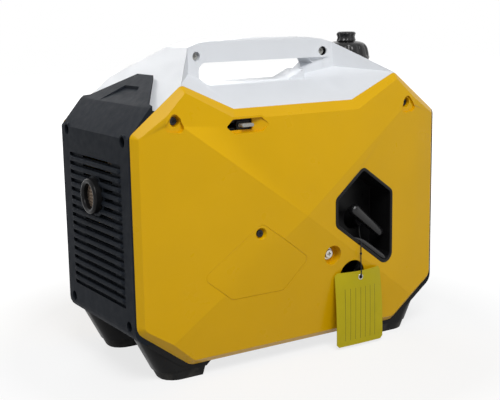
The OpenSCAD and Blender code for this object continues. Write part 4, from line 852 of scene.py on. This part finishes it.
def starter_grip(s):
    """A bar with rounded ends, thicker at its upper end, on the neck that the rope runs into."""
    low, high = corners("starter_grip")
    guide = corners("rope_guide")
    x, _, z = middle_of("starter_grip")
    centre = Vector((x, low.y + GRIP_IN, z))
    along = Vector((high.x - low.x - GRIP_CORNER, 0, low.z - high.z + GRIP_CORNER)).normalized()
    across = along.cross(OUT)
    half = s.grip_length / 2
    rings = []
    for i in range(49):
        t = -math.cos(math.pi * i / 48)
        end = s.thick_end if t < 0 else s.thin_end
        girth = s.thick_end + (s.thin_end - s.thick_end) * (t + 1) / 2
        inset = max(0.0, (abs(t) * half - half + end) / end)
        girth *= math.sqrt(max(0.0, 1.0 - min(1.0, inset) ** 2)) * 0.985 + 0.015
        girth *= 1.0 - GRIP_WAIST * math.cos(t * math.pi / 2)
        ring = []
        for a in angles(32):
            c, d = math.cos(a), math.sin(a)
            w = math.copysign(abs(c) ** GRIP_SQUARE, c) * girth * GRIP_WIDE
            h = math.copysign(abs(d) ** GRIP_SQUARE, d) * girth * GRIP_DEEP
            ring.append(centre + along * (t * half) + across * w + OUT * h)
        rings.append(ring)
    bm = turned(rings)
    neck = []
    rope = Vector((centre.x, 0, centre.z))
    for y, r in ((guide[0].y - 0.0003, 0.0052), (guide[0].y - 0.0006, 0.0056),
                 (guide[0].y - 0.004, 0.0058), (centre.y + 0.0045, 0.0068), (centre.y, 0.0072)):
        neck.append(hoop(rope - OUT * y, r, Vector((1, 0, 0)), UP, 28))
    ring_strip(bm, neck, closed=False, capped=True)
    piece("grip_bar", bm, "glossy_black", "starter_grip", ("starter_grip",), sharp=50)


RECESS_CORNERS = ((-0.0215, 0.082), (0.0345, 0.043), (0.0345, -0.073), (-0.0725, 0.0055),
                  (-0.0725, 0.043))
RECESS_RADII = (0.008, 0.009, 0.013, 0.008, 0.008)
# Rays from the near side that end further in than this went through an opening; they start
# a little outside the outline
PANEL_FACE_Y = -0.112
PROBE_OUT = 0.0015
FLANGE_IN = 0.0029  # how far the flange reaches into the outline
# Where the lip starts along the recess's lower slope and how long it is, as shares of it
LIP_START, LIP_RUN = 0.30, 0.60


def rounded_outline(points, radii, step=0.002):
    """A closed outline with round corners as (point, outward normal) pairs, evenly stepped."""
    path = []
    count = len(points)
    for i in range(count):
        a, b, c = (Vector(points[(i + k) % count]) for k in (-1, 0, 1))
        u, v = (a - b).normalized(), (c - b).normalized()
        turn = math.acos(max(-1.0, min(1.0, u.dot(v))))
        reach = radii[i] / math.tan(turn / 2)
        centre = b + (u + v).normalized() * (radii[i] / math.sin(turn / 2))
        start, stop = b + u * reach - centre, b + v * reach - centre
        sweep = start.angle_signed(stop)
        steps = max(3, int(abs(sweep) * radii[i] / step))
        for k in range(steps + 1):
            angle = sweep * k / steps
            arm = Matrix.Rotation(-angle, 2) @ start
            path.append((centre + arm, arm.normalized()))
    full = []
    for (p, n), (q, m) in zip(path, path[1:] + path[:1]):
        parts = max(1, int((q - p).length / (2 * step)))
        for k in range(parts):
            t = k / parts
            full.append((p.lerp(q, t), n.lerp(m, t).normalized()))
    return full


def recess_trim(s):
    """The flange that lies on the panel round the recess, and the lip on its lower slope."""
    origin = middle_of("rope_guide").xz
    outline = rounded_outline([origin + Vector(c) for c in RECESS_CORNERS], RECESS_RADII)
    panel = skin_of("near_side_panel")

    def face_y(spot):
        hit = panel.ray_cast(Vector((spot.x, -1.0, spot.y)), Vector((0, 1, 0)))[0]
        return hit.y if hit else None

    depths = [face_y(p + n * PROBE_OUT) for p, n in outline]
    level = [d if d is not None and d < PANEL_FACE_Y else None for d in depths]
    for i, d in enumerate(level):
        if d is None:
            level[i] = next(level[i - k] for k in range(1, 60) if level[i - k] is not None)
    inner = -FLANGE_IN
    outer = s.flange + inner
    lift = s.flange_lift
    section = ((inner, 0.0060), (inner, 0.0004), (inner + 0.0003, -lift + 0.0003),
               (inner + 0.0008, -lift), (outer - 0.0007, -lift), (outer - 0.0002, -lift + 0.0003),
               (outer, 0.0001), (outer, 0.0008), (-0.0008, 0.0008), (-0.0008, 0.0060))
    rings = []
    for (p, n), y in zip(outline, level):
        rings.append([Vector((p.x + n.x * a, y + b, p.y + n.y * a)) for a, b in section])
    bm = bmesh.new()
    ring_strip(bm, rings)
    piece("recess_flange", bm, "black_plastic", sharp=45)
    recess_lip(s, origin, level, outline)


def recess_lip(s, origin, level, outline):
    a, b = (origin + Vector(RECESS_CORNERS[i]) for i in (3, 2))
    run = (b - a).normalized()
    inward = Vector((-run.y, run.x))
    if (origin - a).dot(inward) < 0:
        inward = -inward
    length = (b - a).length
    rings = []
    for k in range(41):
        t = k / 40
        spot = a + run * length * (LIP_START + LIP_RUN * t)
        near = min(range(len(outline)), key=lambda i: (outline[i][0] - spot).length)
        top = level[near] + 0.0016
        swell = math.sin(math.pi * min(1.0, t * 3.0) / 2)
        swell *= math.sqrt(max(0.0, 1 - max(0.0, (t - 0.86) / 0.14) ** 2))
        girth = s.lip / 2 * (0.08 + 0.92 * swell) * (0.78 + 0.22 * t)
        centre = spot + inward * (0.0024 + girth * 0.9)
        rings.append(hoop(Vector((centre.x, top + girth, centre.y)), girth,
                          Vector((inward.x, 0, inward.y)), -OUT, 24))
    piece("recess_lip", turned(rings), "glossy_black", sharp=50)


class GENERATOR_OT_side_panels(bpy.types.Operator):
    """Rounds the rims of the two side panels and softens the creases between their facets"""
    bl_idname = "generator.side_panels"
    bl_label = "Side panels"

    def execute(self, context):
        s = settings("shells")

        def long_edge(edge):
            return edge.calc_length() > s.long_edge

        for node in ("near_side_panel", "far_side_panel"):
            bm = merged(node)
            soften(bm, s.panel_crease, 3, CREASE_TURN, RIM_TURN, long_edge)
            soften(bm, s.panel_rim, 4, RIM_TURN, where=long_edge)
            soften(bm, s.pocket_edge)
            piece(node + "_shell", bm, "yellow_shell", replaces=(node,))
        return {"FINISHED"}


class GENERATOR_OT_top_cover(bpy.types.Operator):
    """Rounds the edges of the top cover and of its handle"""
    bl_idname = "generator.top_cover"
    bl_label = "Top cover"

    def execute(self, context):
        s = settings("shells")
        bm = merged("top_cover")
        soften(bm, s.handle_edge, 4, RIM_TURN, where=on_handle_top)
        soften(bm, s.cover_edge)
        for side in (-1, 1):
            x, y, z = BACKING_AT
            spot = Matrix.Translation((x, side * y, z))
            bmesh.ops.create_cube(bm, size=1.0, matrix=spot @ Matrix.Diagonal(BACKING_SIZE))
        piece("cover_shell", bm, "white_cover", replaces=("top_cover",))
        return {"FINISHED"}


# Blocks behind the joints at the handle's control end: middle on the +Y side, and size
BACKING_AT = (0.1086, 0.0234, 0.3988)
BACKING_SIZE = (0.0028, 0.0018, 0.0204, 1.0)
HANDLE_TOP_DEPTH = 0.012
HANDLE_TOP_RUN = 0.03


def on_handle_top(edge):
    """Long edges along the top of the handle."""
    a, b = (v.co for v in edge.verts)
    return min(a.z, b.z) > HIGH.z - HANDLE_TOP_DEPTH and abs(a.x - b.x) > HANDLE_TOP_RUN


def rounded_shell(name, node, slot, radius):
    bm = merged(node)
    soften(bm, radius)
    piece(name, bm, slot, replaces=(node,))


class GENERATOR_OT_end_covers(bpy.types.Operator):
    """Rounds the edges of the two end covers"""
    bl_idname = "generator.end_covers"
    bl_label = "End covers"

    def execute(self, context):
        s = settings("shells")
        for node in ("exhaust_end_cover", "control_end_cover"):
            rounded_shell(node + "_shell", node, "slate_cover", s.end_edge)
        return {"FINISHED"}


class GENERATOR_OT_louvre_ribs(bpy.types.Operator):
    """Sets a rounded rib between each two louvres of the exhaust end and of the air intake"""
    bl_idname = "generator.louvre_ribs"
    bl_label = "Louvre ribs"

    def execute(self, context):
        s = settings("louvres")
        tree = rib_tree()
        ends = corners("exhaust_end_cover")[0].x, corners("control_end_cover")[1].x
        grow("louvre_ribs", tree, {
            "Count": s.count, "Pitch": s.pitch, "Length": s.length, "Height": s.height,
            "Depth": s.depth}, [(ends[0], 0, s.lowest)], "slate_cover")
        grow("intake_ribs", tree, {
            "Count": s.intake_count, "Pitch": s.intake_pitch, "Length": s.intake_length,
            "Height": s.intake_pitch - s.intake_gap, "Depth": s.depth * 0.5},
            [(ends[1], 0, s.intake_lowest)], "slate_cover")
        return {"FINISHED"}


def rib_tree():
    """A column of rounded ribs above each point, one pitch apart."""
    tree, start = new_tree("Rib column", Count="Int", Pitch="Float", Length="Float",
                           Height="Float", Depth="Float")
    step = new_node(tree, "ShaderNodeCombineXYZ", {"Z": start.outputs["Pitch"]})
    column = new_node(tree, "GeometryNodeMeshLine", {
        "Count": start.outputs["Count"], "Offset": step.outputs[0]}, mode="OFFSET")
    ribs = new_node(tree, "GeometryNodeInstanceOnPoints", {
        "Points": column.outputs[0], "Instance": rounded_bar(tree, start)})
    stand = new_node(tree, "GeometryNodeInstanceOnPoints", {
        "Points": start.outputs["Geometry"], "Instance": ribs.outputs[0]})
    finish_tree(tree, start, stand.outputs[0])
    return tree


def rounded_bar(tree, start):
    """A bar along Y whose round section shrinks to nothing over its two ends."""
    half = math_node(tree, "MULTIPLY", start.outputs["Length"], 0.5)
    far = new_node(tree, "ShaderNodeCombineXYZ", {"Y": half})
    near = new_node(tree, "ShaderNodeVectorMath", {0: far.outputs[0], "Scale": -1.0},
                    operation="SCALE")
    line = new_node(tree, "GeometryNodeCurvePrimitiveLine", {
        "Start": near.outputs[0], "End": far.outputs[0]})
    fine = new_node(tree, "GeometryNodeResampleCurve", {"Curve": line.outputs[0], "Count": 90})
    along = new_node(tree, "GeometryNodeSplineParameter")
    ends = math_node(tree, "PINGPONG", along.outputs["Factor"], 0.5)
    rise = spread(tree, ends, 0.0, 1.0, 0.0, 0.03)
    thick = math_node(tree, "MAXIMUM", math_node(tree, "POWER", rise, 0.5), 0.02)
    girth = new_node(tree, "GeometryNodeSetCurveRadius", {
        "Curve": fine.outputs[0], "Radius": thick})
    ring = new_node(tree, "GeometryNodeCurvePrimitiveCircle", {"Resolution": 16, "Radius": 0.5})
    skin = new_node(tree, "GeometryNodeCurveToMesh", {
        "Curve": girth.outputs[0], "Profile Curve": ring.outputs[0], "Fill Caps": True})
    if "Scale" in skin.inputs:
        tree.links.new(thick, skin.inputs["Scale"])
    shape = new_node(tree, "ShaderNodeCombineXYZ", {
        "X": math_node(tree, "MULTIPLY", start.outputs["Depth"], 2.0), "Y": 1.0,
        "Z": start.outputs["Height"]})
    return new_node(tree, "GeometryNodeTransform", {
        "Geometry": skin.outputs[0], "Scale": shape.outputs[0]}).outputs[0]


class GENERATOR_OT_base(bpy.types.Operator):
    """Rounds the edges of the tray and of its legs"""
    bl_idname = "generator.base"
    bl_label = "Base"

    def execute(self, context):
        rounded_shell("tray_shell", "base_tray", "black_plastic", settings("shells").base_edge)
        return {"FINISHED"}


class GENERATOR_OT_fasteners(bpy.types.Operator):
    """Splits the near side's big bolt and washer from the dark panel screws"""
    bl_idname = "generator.fasteners"
    bl_label = "Fasteners"

    def execute(self, context):
        s = settings("shells")
        node = "side_panel_screws"
        screws, bolt = merged(node), merged(node)
        keep_solids(screws, lambda spot: not is_bolt(spot))
        soften(screws, s.screw_edge, 2)
        piece("panel_screws", screws, "dark_screw", replaces=(node,))
        keep_solids(bolt, is_bolt)
        soften(bolt, s.fitting_edge)
        piece("panel_bolt", bolt, "bolt_steel")
        return {"FINISHED"}


# Middle of the big bolt in X and Z, and how far its pieces lie from it at most
BOLT_AT = (0.048, 0.140)
BOLT_REACH = 0.012


def is_bolt(spot):
    x, z = BOLT_AT
    return abs(spot.x - x) < BOLT_REACH and abs(spot.z - z) < BOLT_REACH and spot.y < 0


class GENERATOR_OT_fuel_cap(bpy.types.Operator):
    """Turns the fluted fuel cap and the vent knob on it"""
    bl_idname = "generator.fuel_cap"
    bl_label = "Fuel cap"

    def execute(self, context):
        s = settings("cap")
        low, high = corners("fuel_cap")
        axis = Vector((*middle_of("fuel_cap").xy, low.z))
        r = (high.x - low.x) / 2
        h = high.z - low.z
        skirt = inset_from(r, (
            (0.0032, 0.0), (0.0004, 0.0), (0.0, 0.0006), (0.0, 0.0034), (0.0006, 0.0042),
            (0.0008, 0.0060), (0.0016, 0.0110), (0.0028, 0.0160), (0.0042, 0.0190),
            (0.0064, 0.0218), (0.0095, 0.0242), (0.0140, 0.0258), (0.0180, h - 0.0003)))
        middle = [(0.0095, h), (0.0085, h - 0.0020), (0.0042, h - 0.0024), (0.0042, h - 0.0060)]
        inside = inset_from(r, ((0.0052, 0.0080), (0.0032, 0.0078)))
        cap = fluted(axis, skirt + middle + inside, s.flutes, s.flute_depth, 0.0050, 0.0225)
        piece("cap_body", cap, "glossy_black", "fuel_cap", ("fuel_cap",), sharp=50)
        low, high = corners("cap_vent_knob")
        foot = Vector((axis.x, axis.y, high.z - s.knob_height))
        grip = inset_from((high.x - low.x) / 2, (
            (0.0012, 0.0), (0.0002, 0.0008), (0.0004, 0.0020), (0.0013, 0.0042),
            (0.0016, 0.0062), (0.0011, 0.0084), (0.0003, 0.0104), (0.0003, 0.0118),
            (0.0012, 0.0131), (0.0030, 0.0139), (0.0050, 0.0140), (0.0062, 0.0136)))
        stem = [(0.0036, -0.0070), (0.0038, -0.0002)]
        knob = fluted(foot, stem + grip + [(0.0020, 0.0135)], s.knob_flutes,
                      s.flute_depth * 0.7, 0.0005, 0.0128)
        piece("vent_knob", knob, "glossy_black", "cap_vent_knob", ("cap_vent_knob",), sharp=50)
        return {"FINISHED"}


def inset_from(radius, points):
    """Profile points given by how far each lies inside the outer radius, and its height."""
    return [(radius - inset, z) for inset, z in points]


def fluted(foot, profile, flutes, depth, low, high):
    """A turned form whose side has soft flutes between two heights; its ends are closed."""
    rings = []
    for r, z in refined(profile):
        fade = max(0.0, min(1.0, (z - low) / 0.0015, (high - z) / 0.0025))
        ring = []
        for a in angles(flutes * 8):
            dip = depth * fade * max(0.0, math.cos(flutes * a)) ** 1.5 if r > 0.01 else 0.0
            ring.append(foot + Vector(((r - dip) * math.cos(a), (r - dip) * math.sin(a), z)))
        rings.append(ring)
    return turned(rings)


def refined(profile, step=0.0016):
    """The profile with points added wherever a span is longer than the step."""
    out = []
    for a, b in zip(profile, profile[1:]):
        parts = max(1, int(math.dist(a, b) / step))
        out += [(a[0] + (b[0] - a[0]) * k / parts, a[1] + (b[1] - a[1]) * k / parts)
                for k in range(parts)]
    return out + [profile[-1]]


class GENERATOR_OT_panel_marks(bpy.types.Operator):
    """Prints the plain marks round the switches and sockets of the control panel"""
    bl_idname = "generator.panel_marks"
    bl_label = "Panel marks"

    def execute(self, context):
        bm = bmesh.new()
        switch = on_panel("engine_switch")
        reach = corners("engine_switch")[1].y - switch.y + MARK_GAP
        for start in (100, 10):
            arc_mark(bm, switch, reach, 0.0008, start, start + 70)
        for angle in (90, 180, 0):
            arc_mark(bm, switch, reach - 0.0005, 0.0032, angle - 2.5, angle + 2.5)
        earth = on_panel("earth_terminal", -0.0125)
        for half, drop in ((0.0042, 0.0), (0.0028, 0.0018), (0.0014, 0.0036)):
            bar_mark(bm, earth, -half, half, -drop - LINE, -drop)
        bar_mark(bm, earth, -LINE / 2, LINE / 2, 0.0, 0.0035)
        for node in ("ac_breaker", "dc_breaker"):
            arc_mark(bm, on_panel(node), 0.0085, LINE, 20, 160)
        bar_mark(bm, on_panel("economy_switch"), -LINE / 2, LINE / 2, 0.0135, 0.0165)
        arc_mark(bm, on_panel("economy_switch", -0.0155), 0.0012, LINE, 0, 360)
        low, high = corners("indicator_lamps")
        for k in range(3):
            z = low.z + 0.004 + (high.z - low.z - 0.008) * k / 2
            lamp = Vector((switch.x, high.y + 0.004, z))
            bar_mark(bm, lamp, 0.0, 0.003 * (k + 1), -0.0004, 0.0004)
        word(bm, "OFF", switch + UP * (reach + 0.0035), WORD_TALL)
        word(bm, "ON", switch + OUT * (reach + 0.0030) + UP * 0.0120, WORD_TALL)
        piece("panel_marks", bm, "mark_white", sharp=30)
        return {"FINISHED"}


# Width of a printed line, height of a word, and how far the print stands in and out
LINE = 0.0006
WORD_TALL = 0.0055
MARK_GAP = 0.003
PRINT_IN, PRINT_OUT = 0.0001, 0.00012


def on_panel(node, rise=0.0):
    """The spot on the control panel's face at a piece's middle, or above or below it."""
    _, y, z = middle_of(node)
    return Vector((corners("control_panel")[1].x, y, z + rise))


def print_shape(bm, spot, outline):
    """A thin raised print on the panel, from an outline given by its Y and Z from a spot."""
    back, front = ([bm.verts.new(spot + Vector((x, y, z))) for y, z in outline]
                   for x in (-PRINT_IN, PRINT_OUT))
    bm.faces.new(front)
    bm.faces.new(list(reversed(back)))
    for i in range(len(outline)):
        j = (i + 1) % len(outline)
        bm.faces.new((back[i], back[j], front[j], front[i]))


def bar_mark(bm, spot, y0, y1, z0, z1):
    print_shape(bm, spot, ((y0, z0), (y1, z0), (y1, z1), (y0, z1)))


def arc_mark(bm, centre, radius, width, start, stop):
    steps = max(2, int((stop - start) / 6))
    turns = [math.radians(start + (stop - start) * k / steps) for k in range(steps + 1)]
    for a, b in zip(turns, turns[1:]):
        print_shape(bm, centre, [(r * math.cos(w), r * math.sin(w))
                                 for r, w in ((radius, a), (radius + width, a),
                                              (radius + width, b), (radius, b))])


def word(bm, text, spot, tall):
    """A plain word on the control panel, centred on a spot and read from in front of it."""
    curve = bpy.data.curves.new(text, "FONT")
    curve.body = text
    curve.size = tall
    curve.align_x = "CENTER"
    curve.extrude = PRINT_OUT / 2
    obj = shown(text, curve)
    mesh = bpy.data.meshes.new_from_object(obj)
    x, y, z = spot
    mesh.transform(Matrix((
        (0, 0, 1, x + PRINT_OUT / 2), (1, 0, 0, y), (0, 1, 0, z), (0, 0, 0, 1))))
    bm.from_mesh(mesh)
    bpy.data.objects.remove(obj)
    bpy.data.meshes.remove(mesh)


# Half the height of the pale finger tab on the choke's slide
TAB_HALF = 0.0026


class GENERATOR_OT_choke(bpy.types.Operator):
    """Makes the choke's black slide with its pale finger tab"""
    bl_idname = "generator.choke"
    bl_label = "Choke"

    def execute(self, context):
        middle = middle_of("choke_lever")
        bm = merged("choke_lever")
        soften(bm, settings("shells").fitting_edge)
        obj = piece("choke_slide", bm, "black_plastic", "choke_lever", ("choke_lever",))
        # The second finish is the tab's grey, which the handle screws also carry as painted shade
        obj.data.materials.append(MATERIALS["lever_grey"])
        for face in obj.data.polygons:
            tall = max(abs(obj.data.vertices[i].co.z - middle.z) for i in face.vertices)
            face.material_index = 1 if tall < TAB_HALF else 0
        return {"FINISHED"}


OUTLET_EDGE = 0.0010


class GENERATOR_OT_exhaust_outlet(bpy.types.Operator):
    """Turns the rolled ring round the exhaust outlet"""
    bl_idname = "generator.exhaust_outlet"
    bl_label = "Exhaust outlet"

    def execute(self, context):
        low, high = corners("exhaust_ring")
        r = (high.z - low.z) / 2
        lip = settings("louvres").outlet_wall / 2
        bore = r - 2 * lip
        turns = [math.radians(90 - 15 * k) for k in range(7)]
        profile = [(r - OUTLET_EDGE, high.x), (r, high.x - OUTLET_EDGE)]
        profile += [(r - lip * (1 - math.sin(a)), low.x + lip * (1 - math.cos(a))) for a in turns]
        profile += [(bore + lip * (1 - math.cos(a)), low.x + lip * (1 - math.sin(a)))
                    for a in turns]
        profile += [(bore, high.x)]
        z = middle_of("exhaust_ring").z
        bm = bmesh.new()
        ring_strip(bm, [hoop(Vector((x, 0, z)), radius, -OUT, UP, 96) for radius, x in profile])
        piece("outlet_ring", bm, "black_plastic", replaces=("exhaust_ring",), sharp=50)
        return {"FINISHED"}


class GENERATOR_PT_panel(bpy.types.Panel):
    """Lists the operators in the order in which they run"""
    bl_label = "Portable Generator"
    bl_space_type = "VIEW_3D"
    bl_region_type = "UI"
    bl_category = "Generator"

    def draw(self, context):
        for cls in OPERATORS:
            self.layout.operator(cls.bl_idname)


OPERATORS = (
    GENERATOR_OT_stage, GENERATOR_OT_finishes, GENERATOR_OT_hang_tag, GENERATOR_OT_starter,
    GENERATOR_OT_side_panels, GENERATOR_OT_top_cover, GENERATOR_OT_end_covers,
    GENERATOR_OT_louvre_ribs, GENERATOR_OT_base, GENERATOR_OT_fasteners, GENERATOR_OT_fuel_cap,
    GENERATOR_OT_panel_marks, GENERATOR_OT_choke, GENERATOR_OT_exhaust_outlet,
)
CLASSES = (*SETTINGS.values(), *OPERATORS, GENERATOR_PT_panel)


def register():
    for cls in CLASSES:
        bpy.utils.register_class(cls)
    for name, group in SETTINGS.items():
        setattr(bpy.types.Scene, name, PointerProperty(type=group))


def unregister():
    for name in SETTINGS:
        delattr(bpy.types.Scene, name)
    for cls in reversed(CLASSES):
        bpy.utils.unregister_class(cls)


def main():
    register()
    for operator in OPERATORS:
        group, name = operator.bl_idname.split(".")
        getattr(getattr(bpy.ops, group), name)()


if __name__ == "__main__":
    main()
